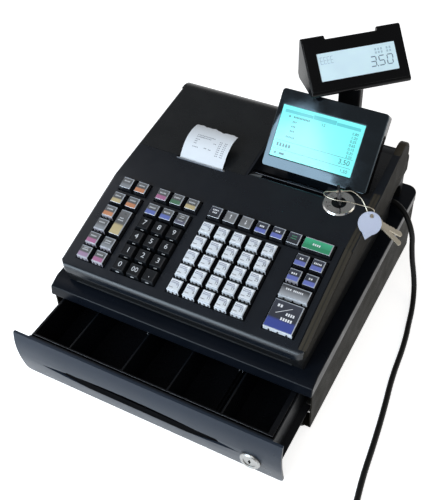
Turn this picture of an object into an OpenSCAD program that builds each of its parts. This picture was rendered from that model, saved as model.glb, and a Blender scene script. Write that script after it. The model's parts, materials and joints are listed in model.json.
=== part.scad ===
/* [Cabinet] */
// Width of the drawer cabinet
cab_w = 326; // [320:1:340]
// Depth of the cabinet, lip to rear wall
cab_d = 330; // [328:1:345]
// Height of the rubber feet
foot_h = 8; // [5:0.5:14]
// Diameter of the rubber feet
foot_d = 24; // [16:1:30]
// Thickness of the cabinet's sheet steel
sheet_t = 1.6; // [1.2:0.1:2]
// Clear height of the drawer bay under the lip
bay_h = 58; // [57:0.5:66]
// Height of the lip's front face
lip_h = 12; // [9:0.5:16]
// Length of the sloping nose behind the lip
nose_run = 14; // [11:0.5:15]
// Rise of the sloping nose
nose_rise = 6.2; // [4:0.1:8]
// Wall of the cabinet's moulded cover
cover_t = 2.5; // [2:0.1:3]
// Radius of the cabinet's rear corners, seen from above
cab_corner_r = 14; // [8:1:18]

/* [Drawer] */
// How far the drawer stands open
drawer_open = 58.5; // [40:0.5:90]
// Thickness of the drawer's front panel at its bulge
panel_t = 12.1; // [11:0.1:14]
// Height of the drawer's front panel
panel_h = 71; // [68:0.5:71.5]
// Length of the drawer pan
pan_len = 318; // [300:1:319]
// Height of the drawer pan's walls
pan_h = 50.5; // [46:0.5:51.5]
// Wall of the money tray
tray_t = 2; // [1.6:0.1:2.6]
// Length of the coin compartments
coin_len = 96; // [80:1:110]
// Thickness of the movable dividers
divider_t = 2; // [1.6:0.1:2.4]
// Width of the finger recess
grip_w = 246; // [180:1:248]
// Diameter of the lock's chrome ring
lock_d = 23; // [20:0.5:26]
// Radius of the drawer's nylon rollers
roller_r = 6; // [5.4:0.1:6.3]

/* [Body] */
// Width of the register body
body_w = 298; // [296:1:304]
// Height of the deck's front edge above the cabinet's nose
deck_front_h = 31.9; // [31.5:0.5:36]
// Slope of the keyboard deck
deck_tilt = 17.1; // [16.5:0.1:17.5]
// Slope of the rear deck over the printer
top_tilt = 7.6; // [7.3:0.1:8.2]
// Wall of the register's case
case_t = 2.5; // [2:0.1:3]
// Radius of the rear top edge
rear_r = 25; // [22:0.5:27]
// Radius of the body's corners, seen from above
body_corner_r = 12; // [8:1:16]
// Thickness of the right-hand ear
ear_t = 9; // [7:0.5:11]
// Radius of the right-hand ear
ear_r = 22; // [19:0.5:25]

/* [Keyboard] */
// Key pitch from left to right
pitch_x = 19; // [18.6:0.1:19.2]
// Key pitch from front to back
pitch_y = 18.8; // [18.4:0.1:19]
// Size of a key at its foot
key_w = 17; // [16:0.1:17.6]
// Taper of a key on each side
key_taper = 1.6; // [1:0.1:2.4]
// Height of the key tops above the deck
key_rise = 5.5; // [4.5:0.1:7]
// Travel of a key
key_travel = 3; // [2:0.1:3.4]
// Play between a key block and its well
key_gap = 0.8; // [0.5:0.1:1]

/* [Printer] */
// Width of the receipt paper
paper_w = 57.5; // [50:0.5:62]
// Thickness of the paper strip
paper_t = 0.4; // [0.3:0.1:0.6]
// Radius of the paper roll
roll_r = 26; // [18:0.5:29]
// Radius of the platen roller
platen_r = 6; // [4.5:0.1:6.5]

/* [Displays] */
// Width of the operator display
disp_w = 127; // [120:1:132]
// Height of the operator display along its face
disp_h = 90.6; // [84:0.2:94]
// Tilt of the operator display's face
disp_tilt = 49; // [45:0.5:53]
// Thickness of the operator display
disp_t = 15; // [13:0.5:15.5]
// Width of the operator display's screen
screen_w = 99; // [90:0.5:101]
// Height of the operator display's screen
screen_h = 59.6; // [52:0.2:61]
// Width of the customer display
cust_w = 118; // [106:1:124]
// Height of the customer display along its face
cust_h = 64; // [60:0.5:68]
// Lean of the customer display's face
cust_lean = 46; // [42:0.5:50]
// Turn of the customer display on its mast
cust_yaw = 43; // [20:1:60]
// Width of the mast
mast_w = 27; // [22:0.5:29]
// Depth of the mast
mast_d = 13; // [11:0.5:14]

/* [Mode switch] */
// Diameter of the chrome dial
dial_d = 36; // [30:0.5:37]
// Diameter of the switch barrel
barrel_d = 16.6; // [14:0.2:18]
// Diameter of the key tag
tag_d = 22; // [18:0.5:25]

/* [Cord] */
// Diameter of the mains cord
cord_d = 6.6; // [6:0.1:7.2]
// Length of the strain relief
relief_len = 26; // [20:1:30]

/* [Hidden] */
$fn = 48;

// Clearances
play = 0.3;
seam = 0.4;
shadow_gap = 0.8;
eps = 0.01;

// ---- places, with the cabinet's centre as datum ----
cab_f = -cab_d / 2;
cab_r = cab_d / 2;
shell_w = cab_w - 2 * shadow_gap;
bay_z = foot_h + sheet_t;
lip_z = bay_z + bay_h;
lip_top = lip_z + lip_h;
nose_y = cab_f + nose_run;
nose_z = lip_top + nose_rise;
cover_tilt = 1.72;
lip_lean = 2;
function cover_z(y) = nose_z + (y - nose_y) * tan(cover_tilt);
skirt_tilt = 2.78;
function skirt_z(y) = lip_z + (y - cab_f) * tan(skirt_tilt);

panel_gap = 1;
panel_back = cab_f - lip_lean - panel_gap;
panel_z = 3;
panel_half = cab_w / 2 - 0.2;
bulge_z = panel_z + 49;
panel_top_t = panel_t - 2.6;
panel_foot_t = panel_t - 7.6;
lock_x = 129;
lock_z = 31;
lock_proud = 3;
lock_seat = 3;
lock_cam = 12;
grip_x = -8;
grip_z = 34.5;
grip_rise = 11;
grip_drop = 10;
grip_depth = 9;
scoop_depth = 5;
slot_w = 190;
slot_h = 9;
slot_mid = grip_x + 5;
skin_t = 3;
panel_r = 6;
ledge_z = bay_z + 56;

body_x = body_w / 2;
deck_y0 = nose_y - 7.9;
deck_z0 = nose_z + deck_front_h;
fold_s = 129;
fold_y = deck_y0 + fold_s * cos(deck_tilt);
fold_z = deck_z0 + fold_s * sin(deck_tilt);
body_rear = cab_r - 9;
function deck_z(y) = y < fold_y ? deck_z0 + (y - deck_y0) * tan(deck_tilt)
    : fold_z + (y - fold_y) * tan(top_tilt);
seam_front_z = deck_z0 - 9.7;
seam_tilt = 4.9;
function seam_z(y) = seam_front_z + (y - deck_y0) * tan(seam_tilt);

// The whole register is centred on the box around it
spare_x = body_x + 1;
spare_len = 48.5;
spare_tilt = 51.5;
frame_x = -(spare_x + spare_len * cos(spare_tilt) + sin(spare_tilt) - cab_w / 2) / 2;
collar_x = body_x - ear_t - 1.5 - 6.2 - disp_w / 2 + 1;
collar_y = body_rear - 11;
face_r = 3.5;
cust_foot_y = -26.5;
cust_len = cust_h - 4;
cust_top_y = cust_foot_y + cust_len * sin(cust_lean);
cust_top_z = face_r + cust_len * cos(cust_lean);
rear_reach = collar_y + cust_w / 2 * sin(cust_yaw) + (cust_top_y + face_r) * cos(cust_yaw);
frame_y = -(panel_back - drawer_open - panel_t - lock_proud + rear_reach) / 2;

// ---- helpers ----
module place() translate([frame_x, frame_y, 0]) children();
module in_drawer() translate([0, -drawer_open, 0]) children();
module along_x(x0, x1) translate([x0, 0, 0]) rotate([90, 0, 90]) linear_extrude(x1 - x0) children();
module along_y(y0, y1) translate([0, y1, 0]) rotate([90, 0, 0]) linear_extrude(y1 - y0) children();
module block(x0, x1, y0, y1, z0, z1) translate([x0, y0, z0]) cube([x1 - x0, y1 - y0, z1 - z0]);
module rod_x(x0, x1, r) translate([x0, 0, 0]) rotate([0, 90, 0]) cylinder(h = x1 - x0, r = r);
module both_sides() { children(); mirror([1, 0, 0]) children(); }
module rrect(w, d, r) {
    square([w - 2 * r, d], center = true);
    square([w, d - 2 * r], center = true);
    for (x = [-1, 1], y = [-1, 1]) translate([x * (w / 2 - r), y * (d / 2 - r)]) circle(r);
}
function arc(cy, cz, r, a0, a1, n = 8) =
    [for (i = [0:n]) let (a = a0 + (a1 - a0) * i / n) [cy + r * cos(a), cz + r * sin(a)]];

// A place on the sloping keyboard deck: x, distance up the slope, height above the deck
module on_deck(x = 0, s = 0, h = 0)
    translate([0, deck_y0, deck_z0]) rotate([deck_tilt, 0, 0]) translate([x, s, h]) children();
// A place on the rear deck
module on_top(x, y, h = 0)
    translate([x, y, deck_z(y)]) rotate([top_tilt, 0, 0]) translate([0, 0, h]) children();

// ---- cabinet ----
module cab_plan(inset) translate([0, -cab_corner_r / 2])
    union() {
        translate([0, cab_corner_r / 2]) rrect(cab_w - 2 * inset, cab_d - 2 * inset, cab_corner_r - inset);
        translate([0, -cab_d / 4]) square([cab_w - 2 * inset, cab_d / 2 - 2 * inset + cab_corner_r], center = true);
    }

module cabinet_shell() place() color("dimgray") difference() {
    intersection() {
        translate([0, 0, foot_h]) linear_extrude(lip_top) cab_plan(shadow_gap);
        along_x(-cab_w, cab_w) polygon([[cab_f + 3, foot_h], [cab_r, foot_h],
            [cab_r, skirt_z(cab_r) - play], [cab_f + 3, skirt_z(cab_f + 3) - play]]);
    }
    difference() {
        translate([0, 0, bay_z]) linear_extrude(lip_top) intersection() {
            cab_plan(shadow_gap + sheet_t);
            translate([-cab_w, cab_f - 9]) square([2 * cab_w, cab_d + 9]);
        }
        block(-cab_w, cab_w, cab_r - 9, cab_r, lip_top, lip_top + 1);
    }
    block(-shell_w / 2 + sheet_t, shell_w / 2 - sheet_t, cab_f, cab_f + 30, bay_z, lip_top);
}

module cover_side(t) polygon([[cab_f - lip_lean + t, lip_z - (t > 0 ? 1 : 0)], [cab_f + t, lip_top - t * 1.2],
    [nose_y + t / 2, nose_z - t], [cab_r - t, cover_z(cab_r) - t],
    [cab_r - t, skirt_z(cab_r) - (t > 0 ? 1 : 0)], [cab_f + 3, skirt_z(cab_f + 3) - (t > 0 ? 1 : 0)]]);
module cover_plan(inset) union() {
    cab_plan(inset);
    translate([0, cab_f]) square([cab_w - 2 * inset, 8], center = true);
}
module cabinet_cover() place() color([0.13, 0.13, 0.14]) difference() {
    intersection() {
        linear_extrude(2 * lip_top) cover_plan(0);
        along_x(-cab_w, cab_w) cover_side(0);
    }
    intersection() {
        linear_extrude(2 * lip_top) cover_plan(cover_t);
        along_x(-cab_w, cab_w) cover_side(cover_t);
    }
}

foot_x = cab_w / 2 - 17;
foot_y = cab_d / 2 - 15;
module rubber_feet() place() color([0.08, 0.08, 0.08])
    for (x = [-1, 1], y = [-1, 1]) translate([x * foot_x, y * foot_y, 0]) {
        cylinder(h = foot_h, d1 = foot_d - 3, d2 = foot_d);
    }

// Runner ledges on the shell's side walls: the drawer's rollers run between them
rail_out = shell_w / 2 - sheet_t;
rail_t = 1.2;
rail_in = rail_out - 6.8;
rail_z = bay_z + 18.7;
rail_h = 2 * roller_r + 3.4;
axle_z = rail_z + rail_t + roller_r + play;
runner_t = 1.5;
runner_z = rail_z + rail_t + 1.6;
module runner_rails() place() color("silver") both_sides() {
    for (z = [rail_z, rail_z + rail_h - rail_t])
        block(rail_in, rail_out, cab_f + 7, cab_r - 15, z, z + rail_t);
    // glide at the mouth
    block(rail_in, rail_out, cab_f + 7, cab_f + 19, rail_z + rail_t + 0.1, runner_z - play);
}

latch_y = cab_r - 7.5;
latch_z = bay_z + 14.5;
latch_pin_r = 1.5;
latch_eye_r = 3.4;
module latch_bracket() place() color("silver") {
    for (x = [-9, 7]) block(x, x + 2, latch_y - 4, cab_r - shadow_gap - sheet_t, latch_z - 5, latch_z + 5);
    block(-15, 15, cab_r - shadow_gap - sheet_t - 1.2, cab_r - shadow_gap - sheet_t, latch_z - 7, latch_z + 9);
    translate([0, latch_y, latch_z]) rod_x(-9, 9, latch_pin_r);
}
module latch_lever() place() color("gainsboro") difference() {
    along_x(-6, 6) translate([latch_y, latch_z]) union() {
        circle(r = latch_eye_r);
        translate([-16, -3]) square([16, 5.5]);
        polygon([[-19, -3], [-13, -3], [-13, 7], [-15, 7], [-19, 2.5]]);
    }
    translate([0, latch_y, latch_z]) rod_x(-7, 7, latch_pin_r + 0.06);
}

// ---- drawer ----
pan_x = rail_in - 4.8;
pan_z = bay_z + 3.9;
pan_f = panel_back;
pan_r = panel_back + pan_len;
axle_y = pan_r - 8;
module panel_side(t = 0) let (back = panel_back + (t > 0 ? 1 : 0), rise = bulge_z - panel_z) polygon(concat(
    [[back, panel_z + t], [panel_back - panel_foot_t + t, panel_z + t]],
    [for (i = [1:5]) [panel_back - panel_foot_t - (panel_t - panel_foot_t) * sin(18 * i) + t,
        panel_z + rise * i / 5 - (i < 5 ? 0 : 1)]],
    [for (i = [1:3]) [panel_back - panel_t + (panel_t - panel_top_t) * pow(i / 3, 2) + t,
        bulge_z + (panel_h - rise - t) * i / 3]],
    [[back, panel_z + panel_h - t]]));
// An almond outline in the front plane
function bow_radius(w, rise) = (w * w / 4 + rise * rise) / (2 * rise);
module almond(w, up, down) intersection() {
    translate([0, up - bow_radius(w, up)]) circle(r = bow_radius(w, up), $fn = 120);
    translate([0, bow_radius(w, down) - down]) circle(r = bow_radius(w, down), $fn = 120);
}
// Outline from the front, with rounded lower corners
module panel_outline() translate([0, panel_z + panel_h / 2]) {
    rrect(2 * panel_half, panel_h, panel_r);
    translate([0, panel_h / 4]) square([2 * panel_half, panel_h / 2], center = true);
}
module drawer_front() place() in_drawer() color([0.25, 0.27, 0.3]) difference() {
    intersection() {
        union() {
            // the bulging skin
            along_x(-panel_half, panel_half) difference() {
                panel_side();
                translate([skin_t, 0]) panel_side();
            }
            // the core between skin and pan, with a ledge along its top
            along_x(-pan_x, pan_x) intersection() {
                panel_side();
                translate([panel_back - panel_t, 0]) square([panel_t, ledge_z]);
            }
        }
        along_y(panel_back - panel_t - 9, panel_back + 9) panel_outline();
    }
    // finger recess: a shallow scoop, and the deep slot inside it
    intersection() {
        along_y(panel_back - panel_t - 9, panel_back)
            translate([grip_x, grip_z]) almond(grip_w, grip_rise, grip_drop);
        along_x(-panel_half, panel_half) translate([panel_back - panel_t, grip_z])
            polygon([[-9, -20], [1.2, -grip_drop], [scoop_depth, -2], [scoop_depth, 6], [2, grip_rise], [-9, 20]]);
    }
    along_y(panel_back - panel_t - 9, panel_back - panel_t + grip_depth)
        translate([slot_mid, grip_z + 2.5]) rrect(slot_w, slot_h, 3);
    // hollow back, in bays between ribs
    for (i = [-2:2], z = [[0, grip_z - grip_drop - 6], [bulge_z + 2, ledge_z - skin_t]])
        translate([i * pan_x * 0.4, 0, 0]) along_x(-26, 26) intersection() {
            panel_side(skin_t);
            translate([panel_back - panel_t, z[0]]) square([panel_t + 2, z[1] - z[0]]);
        }
    translate([lock_x, panel_back + 1, lock_z]) rotate([90, 0, 0]) cylinder(h = panel_t + 9, d = lock_d - 5);
    translate([lock_x, panel_back + 1, lock_z]) rotate([90, 0, 0]) cylinder(h = 6, r = lock_cam + 1);
    translate([lock_x, panel_back - panel_t + lock_seat, lock_z]) rotate([90, 0, 0])
        cylinder(h = 9, d = lock_d + 0.2);
}
module drawer_pan() place() in_drawer() color("gray") {
    difference() {
        block(-pan_x, pan_x, pan_f, pan_r, pan_z, pan_z + pan_h);
        block(-pan_x + 1.5, pan_x - 1.5, pan_f + 1.5, pan_r - 1.5, pan_z + 1.5, pan_z + pan_h + 1);
        block(-10, 10, pan_r - 5, pan_r + 5, latch_z - 5, latch_z + 8);
    }
    both_sides() block(pan_x, pan_x + 8.4, pan_f, axle_y - 14, runner_z, runner_z + runner_t);
    for (x = [-1, 1]) translate([0, axle_y, axle_z]) rod_x(min(x * (pan_x - eps), x * (pan_x + 9.6)),
        max(x * (pan_x - eps), x * (pan_x + 9.6)), 2);
}
module drawer_rollers() place() in_drawer() color("whitesmoke") both_sides()
    translate([pan_x + 5, axle_y, axle_z]) rotate([0, 90, 0]) difference() {
        cylinder(h = 4.2, r = roller_r);
        translate([0, 0, -1]) cylinder(h = 7, r = 2.08);
    }

tray_x = pan_x - 2.2;
tray_f = pan_f + 2.4;
tray_r = pan_r - 18;
tray_z = pan_z + 1.5;
tray_top = pan_z + pan_h + 2;
coin_f = tray_f + tray_t;
coin_r = coin_f + coin_len;
coin_floor = tray_z + 5;
divider_x = [-99, -31.5, 24.5, 88.5];
slot_play = 0.25;
module tray_cell(x0, x1, y0, y1, z0) block(x0, x1, y0, y1, z0, tray_top + 1);
bill_walls = [-tray_x, -tray_x * 0.6, -tray_x * 0.2, tray_x * 0.2, tray_x * 0.6, tray_x];
fin_pitch = 4.2;
fin_t = 1.1;
fins = [0, 5, 2, 5];
module till_tray() place() in_drawer() color([0.1, 0.1, 0.11]) {
    difference() {
        block(-tray_x, tray_x, tray_f, tray_r, tray_z, tray_top);
        tray_cell(-tray_x + tray_t, tray_x - 3 * tray_t, coin_f, coin_r, coin_floor);
        for (i = [0:4]) tray_cell(bill_walls[i] + tray_t, bill_walls[i + 1] - tray_t,
            coin_r + tray_t, tray_r - tray_t, tray_z + tray_t);
    }
    // fins that hold the dividers in other places, to the left of three of them
    for (d = [1:3], i = [1:fins[d]])
        translate([divider_x[d] - divider_t / 2 - slot_play - fin_t - i * fin_pitch, 0, 0])
            along_x(0, fin_t) polygon([[coin_r + eps, coin_floor - eps], [coin_r + eps, tray_top - 3],
                [coin_r - 3, tray_top - 3], [coin_r - 5, coin_floor + 12], [coin_r - 14, coin_floor + 4],
                [coin_f + 6, coin_floor + 2], [coin_f + 3, coin_floor - eps]]);
}
module till_dividers() place() in_drawer() color([0.12, 0.12, 0.13]) for (x = divider_x)
    along_x(x - divider_t / 2, x + divider_t / 2) polygon([[coin_f, coin_floor], [coin_r, coin_floor],
        [coin_r, tray_top - 1], [coin_f, tray_top - 1]]);

lock_face = panel_back - panel_t - lock_proud;
module lock_bezel() place() in_drawer() color("gainsboro")
    translate([lock_x, 0, lock_z]) rotate([90, 0, 0]) difference() {
        union() {
            translate([0, 0, panel_t - panel_back - lock_seat]) cylinder(h = lock_seat + 1, d = lock_d);
            translate([0, 0, panel_t - panel_back + 1 - eps])
                cylinder(h = lock_proud - 1 + eps, d1 = lock_d, d2 = lock_d - 3);
            translate([0, 0, 5 - panel_back]) cylinder(h = panel_t - 5, d = lock_d - 5);
        }
        translate([0, 0, -panel_back - 7]) cylinder(h = 60, d = lock_d - 9);
    }
module lock_plug() place() in_drawer() color("silver") translate([lock_x, 0, lock_z]) {
    rotate([90, 0, 0]) difference() {
        translate([0, 0, 1 - panel_back]) cylinder(h = panel_t + lock_proud - 2, d = lock_d - 9.12);
        translate([-0.9, -3.4, -lock_face - 9]) cube([1.8, 6.8, 10]);
        translate([0, 0, -lock_face - 9]) cylinder(h = 10, d = 3.4);
    }
    // cam behind the panel
    translate([-4, panel_back - 3.6, -4]) cube([8, 2, lock_cam + 3]);
}

// ---- register body ----
// Side outline of the body's skin, drawn in by t
function skin(t, foot = 0) = let (
        r = 6 - t / 2, cy = deck_y0 + t + r, cz = deck_z(deck_y0 + t + r) - t / cos(deck_tilt) - r / cos(deck_tilt),
        rr = rear_r - t, ry = body_rear - t - rr, rz = deck_z(ry) - t / cos(top_tilt) - rr / cos(top_tilt))
    concat([[deck_y0 + t, seam_z(deck_y0 + t) - foot]], arc(cy, cz, r, 180, 90 + deck_tilt, 4),
        [[fold_y, fold_z - t / cos((deck_tilt + top_tilt) / 2)]], arc(ry, rz, rr, 90 + top_tilt, 0, 10),
        [[body_rear - t, seam_z(body_rear - t) - foot]]);
body_y = (deck_y0 + body_rear) / 2;
body_d = body_rear - deck_y0;
module body_plan(t) translate([0, body_y]) rrect(body_w - 2 * t, body_d - 2 * t, body_corner_r - t);
module skin_solid(t, foot = 0) intersection() {
    along_x(-body_x + t, body_x - t) polygon(skin(t, foot));
    linear_extrude(3 * deck_z0) body_plan(t);
}

// Key wells: x range, range up the slope
row0 = 22.3;
top_row = row0 + 5 * pitch_y + 2.8;
kw = key_w / 2 + key_gap;
left_pitch = pitch_x + 0.6;
right_pitch = 18.4;
free_w = body_w - (left_pitch + 2 * pitch_x + 4 * pitch_x + right_pitch) - 8 * key_w / 2;
left_x = -body_x + free_w * 0.209 + key_w / 2;
mid_x = left_x + left_pitch + key_w + free_w * 0.1192;
dept_x = mid_x + 2 * pitch_x + key_w + free_w * 0.191;
wide_x = body_x - 35.2;
right_x = wide_x - right_pitch / 2;
function row_s(r) = row0 + r * pitch_y;
wells = [[left_x - kw, left_x + left_pitch + kw, row0 - kw, row_s(4) + kw],
    [left_x - kw, left_x + left_pitch + kw, top_row - kw, top_row + kw],
    [mid_x - kw, mid_x + 2 * pitch_x + kw, row0 - kw, row_s(4) + kw],
    [mid_x + 2 - kw, mid_x + 2 + 2 * pitch_x + kw, top_row - kw, top_row + kw],
    [dept_x - kw, dept_x + 4 * pitch_x + kw, row0 - kw, row_s(4) + kw],
    [dept_x - kw, wide_x + right_pitch / 2 + kw, top_row - kw, top_row + kw],
    [right_x - kw, right_x + right_pitch + kw, row0 - kw, row_s(4) + kw]];

// Display well and printer bay
well_x1 = body_x - ear_t - 1.5;
disp_x = well_x1 - 6.2 - disp_w;
well_x0 = disp_x - 7.8;
dial_x = body_x - 39;
well_step_x = dial_x - dial_d / 2 - 2;
well_f = 20.5;
well_step_f = 38.6;
well_r = body_rear - 17;
well_z = deck_z(well_f) - 10;
lid_x1 = well_x0 - 3;
lid_f = 18.3;
lid_z = seam_z(lid_f) + 31;
ear_y = 118;
ear_z = 163;
collar_w = mast_w + 8;
collar_d = mast_d + 4;

module lid_zone(g) block(-body_x - 1, lid_x1 + g, lid_f - g, body_rear + 9, lid_z - g, 2 * deck_z0);
lid_pin_y = body_rear + 3.4;
lid_pin_z = lid_z;
lid_hinge_x = [-body_x + 13, lid_x1 - 30.5];
lid_knuckle = 12;
module lid_barrel(x, bore) difference() {
    union() {
        translate([0, lid_pin_y, lid_pin_z]) rod_x(x, x + lid_knuckle, 3);
        children();
    }
    if (bore) translate([0, lid_pin_y, lid_pin_z]) rod_x(x - 1, x + lid_knuckle + 1, 1.56);
}
module ear(x0, x1, grow = 0) along_x(x0, x1) union() {
    translate([ear_y, ear_z]) circle(r = ear_r + grow, $fn = 64);
    polygon([[ear_y + (ear_r + grow) * cos(112), ear_z + (ear_r + grow) * sin(112)], [40, deck_z(40) - 1],
        [60, seam_z(60) + 6], [ear_y + 10, seam_z(ear_y) + 1],
        [ear_y + (ear_r + grow) * cos(-35), ear_z + (ear_r + grow) * sin(-35)]]);
}
// Rounding along one straight side edge of the deck
module edge_round(y0, z0, tilt, len, r) translate([0, y0, z0]) rotate([tilt, 0, 0])
    translate([0, len / 2, 0]) rotate([90, 0, 0]) linear_extrude(len + 2, center = true) difference() {
        translate([body_x - r, -r]) square([r + 1, r + 1]);
        translate([body_x - r, -r]) circle(r);
    }
edge_r = 3.5;
module upper_case() place() color([0.14, 0.14, 0.15]) difference() {
    union() {
        difference() {
            skin_solid(0);
            skin_solid(case_t, 1);
            lid_zone(seam);
        }
        // floor and walls of the display well
        difference() {
            block(well_x0 - case_t, well_x1 + case_t, well_f - case_t, well_r + case_t,
                well_z - case_t, 2 * deck_z0);
            difference() {
                block(-body_w, body_w, -body_w, body_w, 0, 3 * deck_z0);
                skin_solid(1);
            }
        }
        ear(body_x - ear_t, body_x);
        // outer hinge barrels of the printer cover, each with its pin
        for (h = lid_hinge_x, x = [h - lid_knuckle - play, h + lid_knuckle + play]) {
            lid_barrel(x, false)
                block(x, x + lid_knuckle, body_rear - 1, lid_pin_y, lid_pin_z - 4, lid_pin_z - seam);
        }
        for (h = lid_hinge_x) translate([0, lid_pin_y, lid_pin_z]) rod_x(h - 2, h + lid_knuckle + 2, 1.5);
    }
    // display well, narrower at the front beside the mode switch
    block(well_x0, well_step_x, well_f, well_r, well_z, 2 * deck_z0);
    block(well_x0, well_x1, well_step_f, well_r, well_z, 2 * deck_z0);
    // key wells
    for (w = wells) on_deck() block(w[0], w[1], w[2], w[3], -case_t * 3, case_t);
    // seam groove of the right-hand rail
    on_deck(0, 0, 0) block(body_x - ear_t - 1, body_x - ear_t, 8, fold_s, -1, 1);
    // rounded side edges
    both_sides() {
        edge_round(deck_y0 + 8, deck_z(deck_y0 + 8), deck_tilt, fold_s - 10, edge_r);
    }
    mirror([1, 0, 0]) edge_round(fold_y, fold_z, top_tilt, lid_f - fold_y, edge_r);
    // paper slot, mode switch, mast collar
    block(slot_x0 - 3.2, slot_x1 + 3.2, slot_y - 2.7, lid_f + 1, seam_z(0), 2 * deck_z0);
    on_top(dial_x, dial_y) translate([0, 0, -30]) cylinder(h = 60, d = barrel_d + 0.6);
    block(collar_x - collar_w / 2, collar_x + collar_w / 2, collar_y - collar_d / 2,
        collar_y + collar_d / 2, well_z - 20, 2 * deck_z0);
}

// Lower case: a tub that stands on the cabinet, drawn in under the upper case
low_in = 2.6;
tunnel_x = body_x - 40;
tunnel_y = ear_y;
tunnel_w = 40;
tunnel_top = seam_z(tunnel_y) - 9;
module low_side(t) let (y0 = deck_y0 + low_in, y1 = body_rear - low_in - t, up = t > 0 ? 9 : 0)
    polygon([[nose_y + 1 + t, cover_z(nose_y + 1) + t], [y0 + t, seam_z(deck_y0) - 3 + up],
        [y0 + t, seam_z(y0) + up], [y1, seam_z(body_rear) + up], [y1, cover_z(body_rear) + t]]);
module low_solid(t) intersection() {
    along_x(-body_x + low_in + t, body_x - low_in - t) low_side(t);
    linear_extrude(3 * deck_z0) body_plan(low_in + t);
}
module tunnel(g) intersection() {
    block(tunnel_x - g, body_x + 9, tunnel_y - tunnel_w / 2 - g, tunnel_y + tunnel_w / 2 + g,
        cover_z(tunnel_y) - 9, tunnel_top + g);
    along_x(tunnel_x - g, body_x + 9) union() {
        translate([tunnel_y, tunnel_top - tunnel_w / 2]) circle(r = tunnel_w / 2 + g);
        translate([tunnel_y - tunnel_w / 2 - g, 0]) square([tunnel_w + 2 * g, tunnel_top - tunnel_w / 2]);
    }
}
module lower_case() place() color([0.1, 0.1, 0.11]) difference() {
    union() {
        difference() {
            low_solid(0);
            low_solid(case_t);
        }
        intersection() {
            tunnel(case_t);
            low_solid(0);
        }
        // two beads along the front
        for (b = [[5.4, cover_z(nose_y) + 2.6], [0.3, seam_z(deck_y0) - 4.2]])
            translate([0, deck_y0 + low_in + b[0], b[1]])
                rod_x(-body_x + body_corner_r + 3, body_x - body_corner_r - 3, 1.3);
    }
    tunnel(0);
    translate([tunnel_x - 9, tunnel_y, relief_z]) rod_x(0, 18, relief_r + 0.2);
}

// Guide plate with one square hole for each key stem
plate_s = [key_rise - 17.6, key_rise - 14.6];
plate_x = body_x - case_t - play;
module key_plate() place() color([0.06, 0.06, 0.07]) difference() {
    on_deck() block(-plate_x, plate_x, row0 - 11.5, fold_s - 0.5, plate_s[0], plate_s[1]);
    for (k = all_keys) on_deck(k[0], k[1], plate_s[0] - 1)
        cube([stem_w + 0.6, stem_w + 0.6, 12], center = true);
    on_deck(0, 0, 0) for (x = [-1, 0, 1])
        translate([x * (plate_x - 34), row0 - 9, plate_s[0] - 1]) cylinder(h = 6, r = 1.6);
}
module main_board() place() color([0.1, 0.3, 0.15]) {
    difference() {
        block(-60, 96, -100, 20, cover_z(-100) + 9, cover_z(-100) + 10.6);
        for (x = [-54, 90], y = [-94, 14]) translate([x, y, 0]) cylinder(h = 2 * deck_z0, r = 1.7);
    }
    for (i = [0:2]) block(-40 + 40 * i, -20 + 40 * i, -60, -40, cover_z(-100) + 10.6, cover_z(-100) + 13.6);
    for (x = [-54, 90], y = [-94, 14]) translate([x, y, cover_z(y + 4) + case_t]) difference() {
        cylinder(h = cover_z(-100) + 9 - cover_z(y + 4) - case_t, r = 3.5);
        translate([0, 0, -1]) cylinder(h = 20, r = 1.5);
    }
}
core_w = 46;
core_d = 52;
core_h = 38;
coil_over = 4;
core_x = 40;
core_y = body_rear - low_in - case_t - 0.9 - coil_over - core_d;
module power_transformer() place() color([0.35, 0.35, 0.36])
    translate([core_x, core_y, cover_z(core_y + core_d + 8) + case_t]) {
        difference() {
            cube([core_w, core_d, core_h]);
            for (x = [8, core_w - 16]) translate([x, -1, 8]) cube([8, core_d + 2, core_h - 16]);
        }
        translate([16.2, -coil_over, 8.2]) cube([core_w - 32.4, core_d + 2 * coil_over, core_h - 16.4]);
    }

// ---- keys ----
stem_w = 5;
cap_foot = -5.5;
stem_foot = plate_s[0] - 2;
module cap_side(w) polygon([[-w / 2, cap_foot], [w / 2, cap_foot],
    [w / 2 - key_taper, key_rise], [-w / 2 + key_taper, key_rise]]);
module keycap(w, d) {
    intersection() {
        rotate([90, 0, 90]) linear_extrude(w, center = true)
            cap_side(d);
        rotate([90, 0, 0]) linear_extrude(d, center = true)
            cap_side(w);
    }
    translate([-stem_w / 2, -stem_w / 2, stem_foot]) cube([stem_w, stem_w, cap_foot - stem_foot + 1]);
}
module caps(list, w = key_w, d = key_w) for (k = list) on_deck(k[0], k[1]) keycap(w, d);
function row_of(x, n, s, p = pitch_x) = [for (i = [0:n - 1]) [x + i * p, s]];
k_789 = row_of(mid_x, 3, row_s(3));
k_456 = row_of(mid_x, 3, row_s(2));
k_123 = row_of(mid_x, 3, row_s(1));
k_zero = row_of(mid_x, 3, row_s(0));
function k_dept(r) = row_of(dept_x, 5, row_s(r));
k_left = concat(row_of(left_x, 2, row_s(0), left_pitch), row_of(left_x, 2, row_s(1), left_pitch),
    [[left_x, row_s(2)], [left_x, row_s(3)]], row_of(left_x, 2, row_s(4), left_pitch),
    row_of(left_x, 2, top_row, left_pitch));
k_tall = [[left_x + left_pitch, row_s(2.5)]];
k_middle = concat(row_of(mid_x, 3, row_s(4)), row_of(mid_x + 2, 3, top_row));
k_top = row_of(dept_x, 6, top_row);
k_wide = [[wide_x, top_row]];
k_right = concat(row_of(right_x, 2, row_s(4), right_pitch), row_of(right_x, 2, row_s(3), right_pitch));
k_subtotal = [[wide_x, row_s(2)]];
k_total = [[wide_x, row_s(0.5)]];
all_keys = concat(k_789, k_456, k_123, k_zero, k_dept(0), k_dept(1), k_dept(2), k_dept(3), k_dept(4),
    k_left, k_tall, k_middle, k_top, k_wide, k_right, k_subtotal, k_total);
module keys_789() place() color([0.1, 0.1, 0.1]) caps(k_789);
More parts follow.
